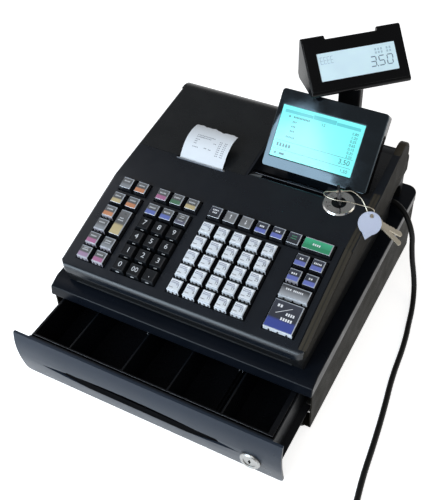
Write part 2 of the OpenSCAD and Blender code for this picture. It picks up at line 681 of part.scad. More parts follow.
module keys_456() place() color([0.1, 0.1, 0.1]) caps(k_456);
module keys_123() place() color([0.1, 0.1, 0.1]) caps(k_123);
module keys_zero() place() color([0.1, 0.1, 0.1]) caps(k_zero);
module keys_dept_1() place() color("white") caps(k_dept(0));
module keys_dept_2() place() color("white") caps(k_dept(1));
module keys_dept_3() place() color("white") caps(k_dept(2));
module keys_dept_4() place() color("white") caps(k_dept(3));
module keys_dept_5() place() color("white") caps(k_dept(4));
module keys_left() place() color([0.75, 0.65, 0.7]) caps(k_left);
module key_tall() place() color([0.75, 0.7, 0.5]) caps(k_tall, key_w, pitch_y + key_w);
module keys_middle() place() color([0.5, 0.55, 0.7]) caps(k_middle);
module keys_top() place() color([0.35, 0.35, 0.4]) caps(k_top);
module key_wide() place() color([0.1, 0.6, 0.4]) caps(k_wide, right_pitch + key_w, key_w);
module keys_right() place() color([0.35, 0.4, 0.7]) caps(k_right);
module key_subtotal() place() color([0.45, 0.45, 0.47]) caps(k_subtotal, right_pitch + key_w, key_w);
module key_total() place() color([0.3, 0.35, 0.65]) caps(k_total, right_pitch + key_w, pitch_y + key_w);

// ---- printer ----
slot_x0 = -body_x + 58.7;
slot_x1 = slot_x0 + paper_w;
slot_y = 17.4;
slot_z = deck_z(slot_y);
roll_x = (slot_x0 + slot_x1) / 2;
roll_y = body_rear - 72;
roll_z = 126;
platen_y = 30;
platen_z = 149;
cheek_t = 3;
cheek_in = paper_w / 2 + 1.5;
frame_f = platen_y - 7.5;
frame_r = roll_y + 34;
frame_top = platen_z + 7;
function floor_z(y) = cover_z(y) + case_t + 0.2;
module on_floor(x0, x1, y0, y1, h) along_x(x0, x1)
    polygon([[y0, floor_z(y0)], [y1, floor_z(y1)], [y1, floor_z(y1) + h], [y0, floor_z(y0) + h]]);
module printer_frame() place() color([0.2, 0.2, 0.22]) {
    for (x = [roll_x - cheek_in - cheek_t, roll_x + cheek_in]) difference() {
        along_x(x, x + cheek_t) polygon([[frame_f, floor_z(frame_f)], [frame_r, floor_z(frame_r)],
            [frame_r, roll_z + 12], [roll_y + 16, roll_z + 22], [roll_y - 24, roll_z + 16],
            [platen_y + 10, frame_top], [frame_f, frame_top]]);
        translate([0, platen_y, platen_z]) rod_x(x - 1, x + cheek_t + 1, 2.05);
        translate([0, roll_y, roll_z]) rod_x(x - 1, x + cheek_t + 1, 4.3);
        block(x - 1, x + cheek_t + 1, roll_y - 4.3, roll_y + 4.3, roll_z, roll_z + 40);
    }
    on_floor(roll_x - cheek_in - eps, roll_x + cheek_in + eps, frame_f, frame_r, 2);
    block(roll_x - cheek_in - eps, roll_x + cheek_in + eps, platen_y + 8.5, platen_y + 12, 120, frame_top);
    for (y = [frame_f + 1.5, frame_r - 2])
        on_floor(roll_x - cheek_in - 12, roll_x + cheek_in + 12, y - 1.4, y + 1.4, 3);
}
module platen_roller() place() color([0.15, 0.15, 0.15]) translate([0, platen_y, platen_z]) {
    rod_x(roll_x - cheek_in - cheek_t - 3, roll_x + cheek_in + cheek_t + 3, 2);
    rod_x(roll_x - cheek_in + 0.6, roll_x + cheek_in - 0.6, platen_r);
    rod_x(roll_x + cheek_in + cheek_t + 0.6, roll_x + cheek_in + cheek_t + 5, 7);
}
module paper_roll() place() color("white") translate([0, roll_y, roll_z]) {
    rod_x(roll_x - paper_w / 2, roll_x + paper_w / 2, roll_r);
    rod_x(roll_x - cheek_in - cheek_t - 1.5, roll_x + cheek_in + cheek_t + 1.5, 4);
}
tooth = 2;
module tear_bar() place() color("silver")
    translate([0, slot_y - 1.7, slot_z - 7]) rotate([90, 0, 0]) linear_extrude(1)
    polygon(concat([[slot_x0 - 3, 0], [slot_x0 - 3, 7.2]],
        [for (i = [0:2 * (slot_x1 - slot_x0) / tooth]) [slot_x0 + i * tooth / 2, 7.2 + (i % 2) * 0.9]],
        [[slot_x1 + 3, 7.2], [slot_x1 + 3, 0]]));
module printer_cover() place() color([0.14, 0.14, 0.15]) {
    difference() {
        intersection() {
            difference() {
                skin_solid(0);
                skin_solid(case_t, 1);
            }
            lid_zone(0);
        }
        mirror([1, 0, 0]) edge_round(lid_f - 4, deck_z(lid_f - 4), top_tilt, ear_y - lid_f + 12, edge_r);
    }
    for (x = lid_hinge_x) lid_barrel(x, true)
        block(x, x + lid_knuckle, body_rear - 1, lid_pin_y, lid_pin_z + eps, lid_pin_z + 4);
}
// Strip of receipt: up through the slot, then curling back over the cover
curl_r = 37.7;
curl_a = 62;
curl_b = -18;
strip_y = slot_y - 0.4;
curl_y = strip_y + curl_r * sin(curl_a);
curl_z = slot_z - curl_r * cos(curl_a);
module receipt_paper() place() color("white") along_x(slot_x0 + 0.4, slot_x1 - 0.4) polygon(concat(
    [[strip_y, slot_z - 7]], arc(curl_y, curl_z, curl_r, 90 + curl_a, 90 + curl_b, 16),
    arc(curl_y, curl_z, curl_r - paper_t, 90 + curl_b, 90 + curl_a, 16), [[strip_y + paper_t, slot_z - 7]]));

// ---- operator display ----
disp_y = 39;
disp_z = deck_z(40) + 3.1;
hinge_v = 14;
hinge_w = -disp_t - 1.5;
hinge_y = disp_y + hinge_v * cos(disp_tilt) - hinge_w * sin(disp_tilt);
hinge_z = disp_z + hinge_v * sin(disp_tilt) + hinge_w * cos(disp_tilt);
knuckle_r = 6;
pin_r = 2;
barrel_x0 = disp_x + 25;
barrel_x1 = disp_x + disp_w - 25;
screen_x = 6.2;
screen_v = disp_h - 18 - screen_h;
bezel_t = 3;
// Panel frame: u to the right, v up the face, w out of the face
module on_panel() translate([disp_x, disp_y, disp_z]) rotate([disp_tilt, 0, 0]) children();
module disp_outline(t, r) translate([disp_w / 2, disp_h / 2]) rrect(disp_w - 2 * t, disp_h - 2 * t, r);
module display_base() place() color([0.03, 0.03, 0.03]) difference() {
    union() {
        along_x(well_x0 + play, well_step_x - play) polygon([[well_f + play, well_z],
            [well_f + play, deck_z(well_f) - 0.6], [well_f + 2.6, deck_z(well_f) - 0.4],
            [disp_y - 1, deck_z(well_f) - 4], [disp_y + 6, well_z]]);
        translate([0, hinge_y, hinge_z]) rod_x(barrel_x0, barrel_x1, knuckle_r);
        along_x(barrel_x0, barrel_x1) polygon([[hinge_y - 2, well_z], [hinge_y + 9, well_z],
            [hinge_y + knuckle_r * cos(20), hinge_z - 1], [hinge_y - 2, hinge_z - 2]]);
    }
    translate([0, hinge_y, hinge_z]) rod_x(barrel_x0 - 1, barrel_x1 + 1, pin_r + 0.06);
}
module display_case() place() color([0.12, 0.12, 0.13]) {
    difference() {
        on_panel() difference() {
            translate([0, 0, -disp_t]) linear_extrude(disp_t - bezel_t) disp_outline(0, 4);
            translate([0, 0, -disp_t + 2]) linear_extrude(disp_t) disp_outline(2.4, 2);
        }
        translate([0, hinge_y, hinge_z]) rod_x(barrel_x0 - 0.3, barrel_x1 + 0.3, knuckle_r + 0.8);
        // the pedestal passes here as the display tilts back
        on_panel() block(barrel_x0 - disp_x - 0.6, barrel_x1 - disp_x + 0.6, -1, hinge_v,
            -disp_t - 1, -disp_t + 4.5);
    }
    translate([0, hinge_y, hinge_z]) {
        for (x = [barrel_x0 - 17, barrel_x1 + 1]) rod_x(x, x + 16, knuckle_r);
        rod_x(barrel_x0 - 3, barrel_x1 + 3, pin_r);
    }
    on_panel() for (x = [barrel_x0 - 16.6, barrel_x1 + 1.4]) translate([x - disp_x, 0, 0])
        block(0, 15.2, hinge_v - knuckle_r + 1, hinge_v + knuckle_r - 1, hinge_w - 1, -disp_t + 1);
}
module display_bezel() place() color([0.05, 0.05, 0.06]) on_panel() difference() {
    translate([0, 0, -bezel_t]) linear_extrude(bezel_t) disp_outline(0, 4);
    translate([screen_x, screen_v, -bezel_t - 1]) cube([screen_w, screen_h, bezel_t + 2]);
}
module display_lcd() place() color([0.55, 0.95, 0.9]) on_panel()
    union() {
        translate([screen_x + 0.1, screen_v + 0.1, -bezel_t - 1])
            cube([screen_w - 0.2, screen_h - 0.2, bezel_t + 0.5]);
        translate([screen_x - 2, screen_v - 3, -bezel_t - 4]) cube([screen_w + 4, screen_h + 6, 4]);
    }

// ---- customer display ----
mast_top = 241;
mast_foot = well_z - 13;
spigot_r = 6;
cust_z = mast_top + 0.4;
module on_cust() translate([collar_x, collar_y, cust_z]) rotate([0, 0, cust_yaw]) children();
module mast_collar() place() color([0.08, 0.08, 0.08]) translate([collar_x, collar_y, 0]) difference() {
    union() {
        translate([0, 0, mast_foot - 3]) linear_extrude(deck_z(collar_y) - mast_foot + 6)
            rrect(collar_w, collar_d, 3);
    }
    translate([0, 0, mast_foot]) linear_extrude(2 * deck_z0) rrect(mast_w + 0.2, mast_d + 0.2, 3);
}
module mast() place() color([0.05, 0.05, 0.05]) translate([collar_x, collar_y, 0]) {
    translate([0, 0, mast_foot]) linear_extrude(mast_top - mast_foot) rrect(mast_w, mast_d, 3);
    translate([0, 0, mast_top - 1]) cylinder(h = 12, r = spigot_r);
}
module cust_side() polygon(concat(
    arc(cust_foot_y, face_r, face_r, 270, 180 - cust_lean, 6),
    arc(cust_top_y, cust_top_z, face_r, 180 - cust_lean, 0, 6),
    [[cust_top_y + face_r, 5], [cust_top_y - 1, 0]]));
// The sloping face: u to the right, v up the face, w out of it
module on_face() on_cust()
    translate([0, cust_foot_y - face_r * cos(cust_lean), face_r * (1 + sin(cust_lean))])
    rotate([90 - cust_lean, 0, 0]) children();
ear_w = 28;
ear_rise = 5;
face_t = 1.4;
win_left = 14;
win_right = 12;
win_w = cust_w - win_left - win_right;
win_h = 31.5;
win_u = -cust_w / 2 + win_left;
win_v = cust_len - 17 - win_h;
module customer_case() place() color([0.06, 0.06, 0.07]) difference() {
    on_cust() along_x(-cust_w / 2, cust_w / 2) cust_side();
    // dip in the top edge between two raised ends
    on_face() block(-cust_w / 2 + ear_w, cust_w / 2 - ear_w, cust_len + face_r - ear_rise, cust_len + 20, -40, 9);
    // pocket behind the window
    on_face() block(win_u - 3, win_u + win_w + 3, win_v - 3, win_v + win_h + 3, -7, 1);
    on_cust() translate([0, 0, -1]) cylinder(h = 13, r = spigot_r + 0.06);
}
module customer_face() place() color([0.02, 0.02, 0.02]) on_face() difference() {
    block(-cust_w / 2 + 1, cust_w / 2 - 1, 1, cust_len - 3, 0, face_t);
    block(win_u, win_u + win_w, win_v, win_v + win_h, -1, 6);
}
module customer_lcd() place() color([0.8, 0.92, 0.97]) on_face() {
    block(win_u + 0.1, win_u + win_w - 0.1, win_v + 0.1, win_v + win_h - 0.1, -1, face_t - 0.6);
    block(win_u - 2.8, win_u + win_w + 2.8, win_v - 2.8, win_v + win_h + 2.8, -7, 0);
}

// ---- mode switch and keys ----
dial_y = 20;
dial_h = 1.6;
key_turn = -60;
module mode_dial() place() color("gainsboro") on_top(dial_x, dial_y) rotate_extrude()
    polygon([[barrel_d / 2, 0.02], [dial_d / 2, 0.02], [dial_d / 2 - 1.2, dial_h], [barrel_d / 2, dial_h]]);
module mode_barrel() place() color([0.1, 0.1, 0.1])
    on_top(dial_x, dial_y) rotate([0, 0, key_turn]) difference() {
    translate([0, 0, -22]) cylinder(h = 23, d = barrel_d - 0.12);
    translate([-4.1, -1.1, -12]) cube([8.2, 2.2, 14]);
    for (x = [-4.4, 4.4]) translate([x, 0, -13]) cylinder(h = 16, r = 1.3);
}
bow_h = 25.4;
bow_w = 20;
bow_hole = bow_h - 5.5;
key_t = 2;
module mode_key() place() color([0.2, 0.2, 0.21]) on_top(dial_x, dial_y) rotate([90, 0, key_turn])
    translate([0, 0, -key_t / 2]) linear_extrude(key_t) difference() {
        union() {
            translate([0, 1.4 + bow_h / 2]) rrect(bow_w, bow_h - 4, 7);
            translate([-4, -11.5]) square([8, 16]);
        }
        translate([0, bow_hole]) circle(r = 2.8);
    }
// A round strand swept along points; ref never lies along the strand
function unit(v) = v / norm(v);
function spline(p, n) = concat([for (i = [0:len(p) - 2], j = [0:n - 1])
    let (a = p[max(i - 1, 0)], b = p[i], c = p[i + 1], d = p[min(i + 2, len(p) - 1)], t = j / n)
        b + t * (c - a) / 2 + t * t * (a - 2.5 * b + 2 * c - d / 2) + t * t * t * (1.5 * (b - c) + (d - a) / 2)],
    [p[len(p) - 1]]);
module strand(p, r, sides, ref) {
    n = len(p);
    rings = [for (i = [0:n - 1]) let (t = unit(p[min(i + 1, n - 1)] - p[max(i - 1, 0)]),
        u = unit(cross(ref, t)), v = cross(t, u)) for (k = [0:sides - 1])
            p[i] + r * (cos(360 * k / sides) * u + sin(360 * k / sides) * v)];
    polyhedron(rings, concat([[for (k = [0:sides - 1]) sides - 1 - k]],
        [for (i = [0:n - 2], k = [0:sides - 1]) let (a = i * sides, m = (k + 1) % sides)
            [a + k, a + m, a + m + sides, a + k + sides]], [[for (k = [0:sides - 1]) (n - 1) * sides + k]]));
}
loop_r = 0.6;
bow_at = [dial_x, dial_y - bow_hole * sin(top_tilt), deck_z(dial_y) + bow_hole * cos(top_tilt)];
loop_pts = [[17, -12, 0.4], [2, -16, 0.8], [-10, -14.5, 0.6], [-13.5, -8.4, 0.2], [-7, -4, 0], [0, 0, 0],
    [7, 4, -0.2], [13, 7, -1.2], [24, 6, -7], [32.5, 0.8, -14.6], [36, -3.4, -16.6], [38.2, -5, -14.8],
    [39.3, -6, -13], [40.7, -6.4, -11.3], [42.4, -6.8, -9.2], [43.1, -7.2, -6.4], [41.4, -8, -3.2],
    [36.5, -8.8, -1.7], [30, -9.5, -1.6], [18, -11.8, 0]];
module key_loop() place() color("silver") {
    strand(spline([for (q = loop_pts) bow_at + q], 4), loop_r, 8, [0.3, 0.15, 0.94]);
    // crimp sleeve, in the bow's hole
    on_top(dial_x, dial_y) rotate([90, 0, key_turn]) translate([0, bow_hole, -3.5]) cylinder(h = 7, r = 1.4);
}
tag_t = 1.6;
tag_at = bow_at + [40, -10.9, -18];
module tag_shape() union() {
    circle(d = tag_d);
    polygon([[-tag_d * 0.42, -tag_d * 0.2], [tag_d * 0.42, -tag_d * 0.2], [0, -tag_d * 0.72]]);
}
module key_tag() place() color([0.75, 0.78, 0.9]) translate(tag_at) rotate([0, 45, 0]) rotate([10, 0, 30])
    translate([0, 0, -tag_t / 2]) linear_extrude(tag_t) difference() {
        tag_shape();
        translate([0, tag_d / 2 - 4]) circle(r = 2);
    }
spare_at = [spare_x, bow_at[1] - 6.6, bow_at[2] - 10.4];
module spare_key() translate([0, 0, -1]) linear_extrude(2) difference() {
    union() {
        translate([5, 0]) rrect(20, 17, 6);
        translate([10, -4]) square([spare_len - 12, 8]);
        translate([spare_len - 4, 0]) circle(r = 4);
    }
    circle(r = 2.9);
    translate([7, 0]) rrect(3, 9, 1);
    for (i = [0:4]) translate([22 + i * 5, 4.6]) rotate(45) square(2.2 + 0.7 * (i % 2), center = true);
}
module spare_keys() place() color("silver") translate(spare_at) rotate([0, spare_tilt, 0]) {
    spare_key();
    translate([0, 0, 2.6]) rotate([0, 0, -24]) spare_key();
}

// ---- cord ----
relief_r = 6;
relief_z = cover_z(tunnel_y) + relief_r + 2.8;
relief_x = tunnel_x;
module strain_relief() place() color([0.05, 0.05, 0.05])
    translate([relief_x, tunnel_y, relief_z]) rotate([0, 90, 0]) {
    translate([0, 0, -case_t - 1.5]) cylinder(h = case_t + 3, r = relief_r);
    cylinder(h = 1.5, r = relief_r + 1.6);
    translate([0, 0, 1.5 - eps]) rotate_extrude()
        polygon([[0, 0], [relief_r - 1.2, 0], [cord_d / 2 + 0.5, relief_len - 1.5], [0, relief_len - 1.5]]);
}
cord_r = cord_d / 2;
edge_x = cab_w / 2;
// The way the cord takes: out of the tunnel, over the cover's edge, down and along the table
cord_pts = [[relief_x + relief_len, tunnel_y, relief_z], [relief_x + relief_len + 7.3, tunnel_y - 0.4, relief_z],
    [relief_x + relief_len + 16.4, tunnel_y - 3.1, relief_z - 0.4], [edge_x - 1.5, 108.6, relief_z - 2.4],
    [edge_x + 6.4, 102.5, relief_z - 7.6], [edge_x + 12.7, 98.1, 86.4], [edge_x + 16.8, 96.1, 74.6],
    [edge_x + 18.8, 94.9, 60.3], [edge_x + 22.8, 91, 43.6], [edge_x + 27.9, 86.8, 27.7],
    [edge_x + 32.9, 79.5, 14.1], [edge_x + 37.6, 66, 5.2], [edge_x + 41.9, 47.2, cord_r],
    [edge_x + 45.2, 27.1, cord_r], [edge_x + 48.8, 5.9, cord_r], [edge_x + 51.5, -18.2, cord_r],
    [edge_x + 53.3, -43.9, cord_r], [edge_x + 55.8, -67.6, cord_r], [edge_x + 59.2, -90.7, cord_r],
    [edge_x + 63, -119.7, cord_r], [edge_x + 66.5, -152.2, cord_r], [edge_x + 69.6, -185.3, cord_r],
    [edge_x + 73.3, -212, cord_r], [edge_x + 77.2, -236, cord_r], [edge_x + 80.2, -256, cord_r],
    [edge_x + 81.3, -268, cord_r + 0.4]];
module cord_tube() place() color("black") strand(spline(cord_pts, 3), cord_r, 12, [0.57, 0.58, 0.59]);
coil_turn = cord_d - 0.3;
coil_mid = 36;
coil_at = [edge_x + 75 + coil_mid + coil_turn + cord_d, -270, 0];
module cord_coil() place() color("black") translate(coil_at) rotate_extrude($fn = 96) union() {
    for (i = [-1:1], j = [0, 1])
        translate([coil_mid + i * coil_turn, cord_r + j * coil_turn]) circle(r = cord_r, $fn = 24);
    translate([coil_mid - coil_turn, cord_r]) square([2 * coil_turn, coil_turn]);
}
plug_w = 27;
plug_h = 16;
plug_len = 34;
module mains_plug() place() color([0.04, 0.04, 0.04])
    translate(coil_at + [coil_mid + coil_turn + 1.6, 4, plug_h / 2]) rotate([0, 0, -90]) {
    rod_x(0, 12, cord_r);
    translate([12 - eps, 0, 0]) rotate([0, 90, 0]) cylinder(h = 28, r1 = cord_r + 0.6, r2 = 6.4);
    translate([40 - 2 * eps, 0, 0]) rotate([90, 0, 90]) linear_extrude(plug_len) rrect(plug_w, plug_h, 5);
    for (y = [-6.3, 6.3]) block(40 + plug_len - 2, 40 + plug_len + 16, y - 0.8, y + 0.8, -3.1, 3.1);
}

cabinet_shell();
cabinet_cover();
rubber_feet();
runner_rails();
latch_bracket();
latch_lever();
drawer_front();
drawer_pan();
drawer_rollers();
till_tray();
till_dividers();
lock_bezel();
lock_plug();
lower_case();
upper_case();
key_plate();
main_board();
power_transformer();
printer_frame();
platen_roller();
paper_roll();
tear_bar();
printer_cover();
receipt_paper();
display_base();
display_case();
display_bezel();
display_lcd();
mast_collar();
mast();
customer_case();
customer_face();
customer_lcd();
mode_dial();
mode_barrel();
mode_key();
key_loop();
key_tag();
spare_keys();
keys_789();
keys_456();
keys_123();
keys_zero();
keys_dept_1();
keys_dept_2();
keys_dept_3();
keys_dept_4();
keys_dept_5();
keys_left();
key_tall();
keys_middle();
keys_top();
key_wide();
keys_right();
key_subtotal();
key_total();
strain_relief();
cord_tube();
cord_coil();
mains_plug();
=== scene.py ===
"""Looks of the ticket register: a counter cash register with its drawer open. Places are in mm."""

import json
from math import cos, pi, radians, sin, tan

import bmesh
import bpy
from mathutils import Matrix, Vector

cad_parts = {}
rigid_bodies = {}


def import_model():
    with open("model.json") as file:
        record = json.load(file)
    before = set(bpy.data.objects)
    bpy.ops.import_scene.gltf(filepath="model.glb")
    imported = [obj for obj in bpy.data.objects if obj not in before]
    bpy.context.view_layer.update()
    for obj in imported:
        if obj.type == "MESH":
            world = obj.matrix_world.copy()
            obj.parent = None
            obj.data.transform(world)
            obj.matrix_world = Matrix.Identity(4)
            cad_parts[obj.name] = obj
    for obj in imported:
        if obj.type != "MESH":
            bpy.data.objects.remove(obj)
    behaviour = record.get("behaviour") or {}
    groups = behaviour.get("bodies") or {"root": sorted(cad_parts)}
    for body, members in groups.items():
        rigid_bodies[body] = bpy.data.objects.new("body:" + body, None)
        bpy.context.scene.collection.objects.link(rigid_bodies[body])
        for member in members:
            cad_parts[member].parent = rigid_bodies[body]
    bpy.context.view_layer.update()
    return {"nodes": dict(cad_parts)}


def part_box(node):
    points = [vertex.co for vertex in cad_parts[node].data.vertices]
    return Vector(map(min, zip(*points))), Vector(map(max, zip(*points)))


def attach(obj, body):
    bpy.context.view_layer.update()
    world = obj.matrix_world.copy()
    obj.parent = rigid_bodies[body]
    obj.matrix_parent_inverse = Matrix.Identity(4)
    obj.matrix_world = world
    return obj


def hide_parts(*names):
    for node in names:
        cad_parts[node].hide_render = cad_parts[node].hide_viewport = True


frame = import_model()
MM = 0.001

# ---- places taken from the frame ----
HALF_DEPTH = 165
cover_low, cover_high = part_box("cabinet_cover")
DATUM = Vector(((cover_low.x + cover_high.x) / 2, cover_high.y - HALF_DEPTH * MM, 0))


def at(x, y, z=0.0):
    """A point given in mm from the cabinet's centre on the table."""
    return DATUM + Vector((x, y, z)) * MM


def turned(origin, *turns):
    """A local frame, in mm, at origin, turned about its own axes one after another."""
    m = Matrix.Translation(origin)
    for axis, angle in turns:
        m = m @ Matrix.Rotation(radians(angle), 4, axis)
    return m @ Matrix.Scale(MM, 4)


# the keyboard deck rises from its front edge to a fold, and a flatter top goes on from there
DECK_TILT, TOP_TILT = 17.1, 7.6
DECK_Y, DECK_Z = -158.9, 117.7
FOLD = 129
FOLD_Y, FOLD_Z = DECK_Y + FOLD * cos(radians(DECK_TILT)), DECK_Z + FOLD * sin(radians(DECK_TILT))


def deck_z(y):
    """Height of the keyboard deck, or of the flatter top behind its fold."""
    if y < FOLD_Y:
        return DECK_Z + (y - DECK_Y) * tan(radians(DECK_TILT))
    return FOLD_Z + (y - FOLD_Y) * tan(radians(TOP_TILT))


# local frames: the cabinet, the deck, the top behind it, the mode dial, and the faces of both displays
LEVEL = turned(at(0, 0, 0))
DECK = turned(at(0, DECK_Y, DECK_Z), ("X", DECK_TILT))
TOP = turned(at(0, FOLD_Y, FOLD_Z), ("X", TOP_TILT))
DIAL_X, DIAL_Y = 110, 20
DIAL = turned(at(DIAL_X, DIAL_Y, deck_z(DIAL_Y)), ("X", TOP_TILT))
PANEL_X, PANEL_Y, PANEL_LIFT, PANEL_LEAN = 5.3, 39, 3.1, 49
PANEL = turned(at(PANEL_X, PANEL_Y, deck_z(PANEL_Y + 1) + PANEL_LIFT), ("X", PANEL_LEAN))
MAST_X, MAST_Y, MAST_TOP, CUSTOMER_TURN = 69.8, 145, 241.4, 43
FACE_LEAN, FACE_R, FACE_Y = 46, 3.5, -26.5
FACE_FOOT = (0, FACE_Y - FACE_R * cos(radians(FACE_LEAN)), FACE_R * (1 + sin(radians(FACE_LEAN))))
FACE = (turned(at(MAST_X, MAST_Y, MAST_TOP), ("Z", CUSTOMER_TURN)) @ Matrix.Translation(FACE_FOOT)
        @ Matrix.Rotation(radians(90 - FACE_LEAN), 4, "X"))


def linked(obj):
    """Puts a new object into the scene."""
    bpy.context.scene.collection.objects.link(obj)
    return obj


# ---- camera ----
CAMERA_AT, LENS, SHIFT = (329.9, -626.1, 758.9), 58.73, (-0.0028, 0.0016)
CAMERA_AZ, CAMERA_EL, CAMERA_ROLL = 29.6, 44.6, -2.5
camera = linked(bpy.data.objects.new("camera", bpy.data.cameras.new("camera")))
bpy.context.scene.camera = camera
camera.location = at(*CAMERA_AT)
camera.rotation_euler = (Matrix.Rotation(radians(CAMERA_AZ), 4, "Z")
                         @ Matrix.Rotation(radians(90 - CAMERA_EL), 4, "X")
                         @ Matrix.Rotation(radians(CAMERA_ROLL), 4, "Z")).to_euler()
camera.data.sensor_width = 36
camera.data.lens = LENS
camera.data.shift_x, camera.data.shift_y = SHIFT
camera.data.clip_start = 0.01

# ---- materials ----


def shader(name, colour, rough, metal=0.0, coat=0.0, specular=0.5):
    """A material with one principled shader, and its parts."""
    m = bpy.data.materials.new(name)
    m.use_nodes = True
    nodes, links = m.node_tree.nodes, m.node_tree.links
    bsdf = nodes["Principled BSDF"]
    bsdf.inputs["Base Color"].default_value = (*colour, 1)
    bsdf.inputs["Roughness"].default_value = rough
    bsdf.inputs["Metallic"].default_value = metal
    bsdf.inputs["Coat Weight"].default_value = coat
    bsdf.inputs["Coat Roughness"].default_value = 0.08
    bsdf.inputs["Specular IOR Level"].default_value = specular
    return m, nodes, links, bsdf


def noise(nodes, links, scale, detail=3.0, stretch=None):
    """Noise on the piece's own coordinates; scale is in cycles a metre."""
    where = nodes.new("ShaderNodeTexCoord")
    tex = nodes.new("ShaderNodeTexNoise")
    tex.inputs["Scale"].default_value = scale
    tex.inputs["Detail"].default_value = detail
    if stretch:
        mapping = nodes.new("ShaderNodeMapping")
        mapping.inputs["Scale"].default_value = stretch
        links.new(where.outputs["Object"], mapping.inputs["Vector"])
        links.new(mapping.outputs["Vector"], tex.inputs["Vector"])
    else:
        links.new(where.outputs["Object"], tex.inputs["Vector"])
    return tex


def ramp(nodes, links, factor, stops):
    """A colour ramp; each stop is (place, grey value or colour)."""
    r = nodes.new("ShaderNodeValToRGB")
    while len(r.color_ramp.elements) < len(stops):
        r.color_ramp.elements.new(0.5)
    for e, (pos, value) in zip(r.color_ramp.elements, stops):
        e.position = pos
        e.color = (*value, 1) if isinstance(value, tuple) else (value, value, value, 1)
    links.new(factor, r.inputs["Fac"])
    return r


def shade_of(colour, k):
    """A colour k times as bright."""
    return tuple(min(1.0, c * k) for c in colour)


def patchy_gloss(nodes, links, bsdf, rough, stretch=None):
    """Gloss that changes slowly over the piece, as handling leaves it."""
    patch = noise(nodes, links, 45, 4, stretch)
    gloss = ramp(nodes, links, patch.outputs["Fac"],
                 [(0.3, max(0.02, rough - 0.05)), (0.7, min(1.0, rough + 0.06))])
    links.new(gloss.outputs["Color"], bsdf.inputs["Roughness"])


def grained(nodes, links, bsdf, grain, scale, stretch=None):
    """The fine grain of a moulded or coated surface."""
    fine = noise(nodes, links, scale, 2, stretch)
    bump = nodes.new("ShaderNodeBump")
    bump.inputs["Strength"].default_value = grain
    bump.inputs["Distance"].default_value = 0.0002
    links.new(fine.outputs["Fac"], bump.inputs["Height"])
    links.new(bump.outputs["Normal"], bsdf.inputs["Normal"])


def finish(name, colour, rough, grain=0.0, grain_scale=1400, spread=0.12, metal=0.0, coat=0.0, stretch=None,
           specular=0.5):
    """Colour with slow variation, patchy gloss, and a fine grain in the bump."""
    m, nodes, links, bsdf = shader(name, colour, rough, metal, coat, specular)
    slow = noise(nodes, links, 14, 5, stretch)
    tint = ramp(nodes, links, slow.outputs["Fac"],
                [(0.3, shade_of(colour, 1 - spread)), (0.7, shade_of(colour, 1 + spread))])
    links.new(tint.outputs["Color"], bsdf.inputs["Base Color"])
    patchy_gloss(nodes, links, bsdf, rough, stretch)
    if grain:
        grained(nodes, links, bsdf, grain, grain_scale, stretch)
    return m


def printed(name, stops, rough=0.3, coat=0.5):
    """A printed key label: its bands run up the label along the piece's own map."""
    m, nodes, links, bsdf = shader(name, stops[0][1], rough, coat=coat)
    spot = nodes.new("ShaderNodeUVMap")
    split = nodes.new("ShaderNodeSeparateXYZ")
    links.new(spot.outputs["UV"], split.inputs["Vector"])
    bands = ramp(nodes, links, split.outputs["Y"], stops)
    slow = noise(nodes, links, 60, 3)
    fade = ramp(nodes, links, slow.outputs["Fac"], [(0.3, 0.9), (0.7, 1.0)])
    mix = nodes.new("ShaderNodeMix")
    mix.data_type, mix.blend_type = "RGBA", "MULTIPLY"
    mix.inputs["Factor"].default_value = 1.0
    links.new(bands.outputs["Color"], mix.inputs["A"])
    links.new(fade.outputs["Color"], mix.inputs["B"])
    links.new(mix.outputs["Result"], bsdf.inputs["Base Color"])
    patchy_gloss(nodes, links, bsdf, rough)
    return m


def lit(name, colour, strength, rough=0.12):
    """A lit screen: its colour, and a little light of its own."""
    m, nodes, links, bsdf = shader(name, colour, rough, coat=0.3)
    slow = noise(nodes, links, 30, 2)
    tint = ramp(nodes, links, slow.outputs["Fac"],
                [(0.35, shade_of(colour, 0.95)), (0.65, shade_of(colour, 1.05))])
    links.new(tint.outputs["Color"], bsdf.inputs["Base Color"])
    bsdf.inputs["Emission Color"].default_value = (*colour, 1)
    bsdf.inputs["Emission Strength"].default_value = strength
    return m


CASE = finish("case plastic", (0.005, 0.0075, 0.012), 0.3, 0.12)
LID = finish("lid plastic", (0.008, 0.0095, 0.011), 0.28, 0.12)
# painted light: a warm brownish sheen standing for light on the lit right side, used on the ear's disc and the rail's
# strips
RAIL_SHEEN = finish("rail plastic", (0.05, 0.044, 0.034), 0.45, 0.15, specular=0.03)
# painted light: a lighter, warmer copy of the case plastic for the right flank, standing for its lit side
FLANK_SHEEN = finish("flank plastic", (0.02, 0.0185, 0.0155), 0.5, 0.15, specular=0.02)
# painted shade: near black for the slot inside the drawer's finger recess, where shade falls
RECESS_SHADE = finish("recess", (0.0015, 0.0015, 0.002), 0.6, specular=0.03)
# painted light: a lighter copy of the drawer plastic for the finger recess's upper crescent, where light falls into
# it
SCOOP_LIT = finish("scoop", (0.045, 0.053, 0.065), 0.35, 0.1, specular=0.2)
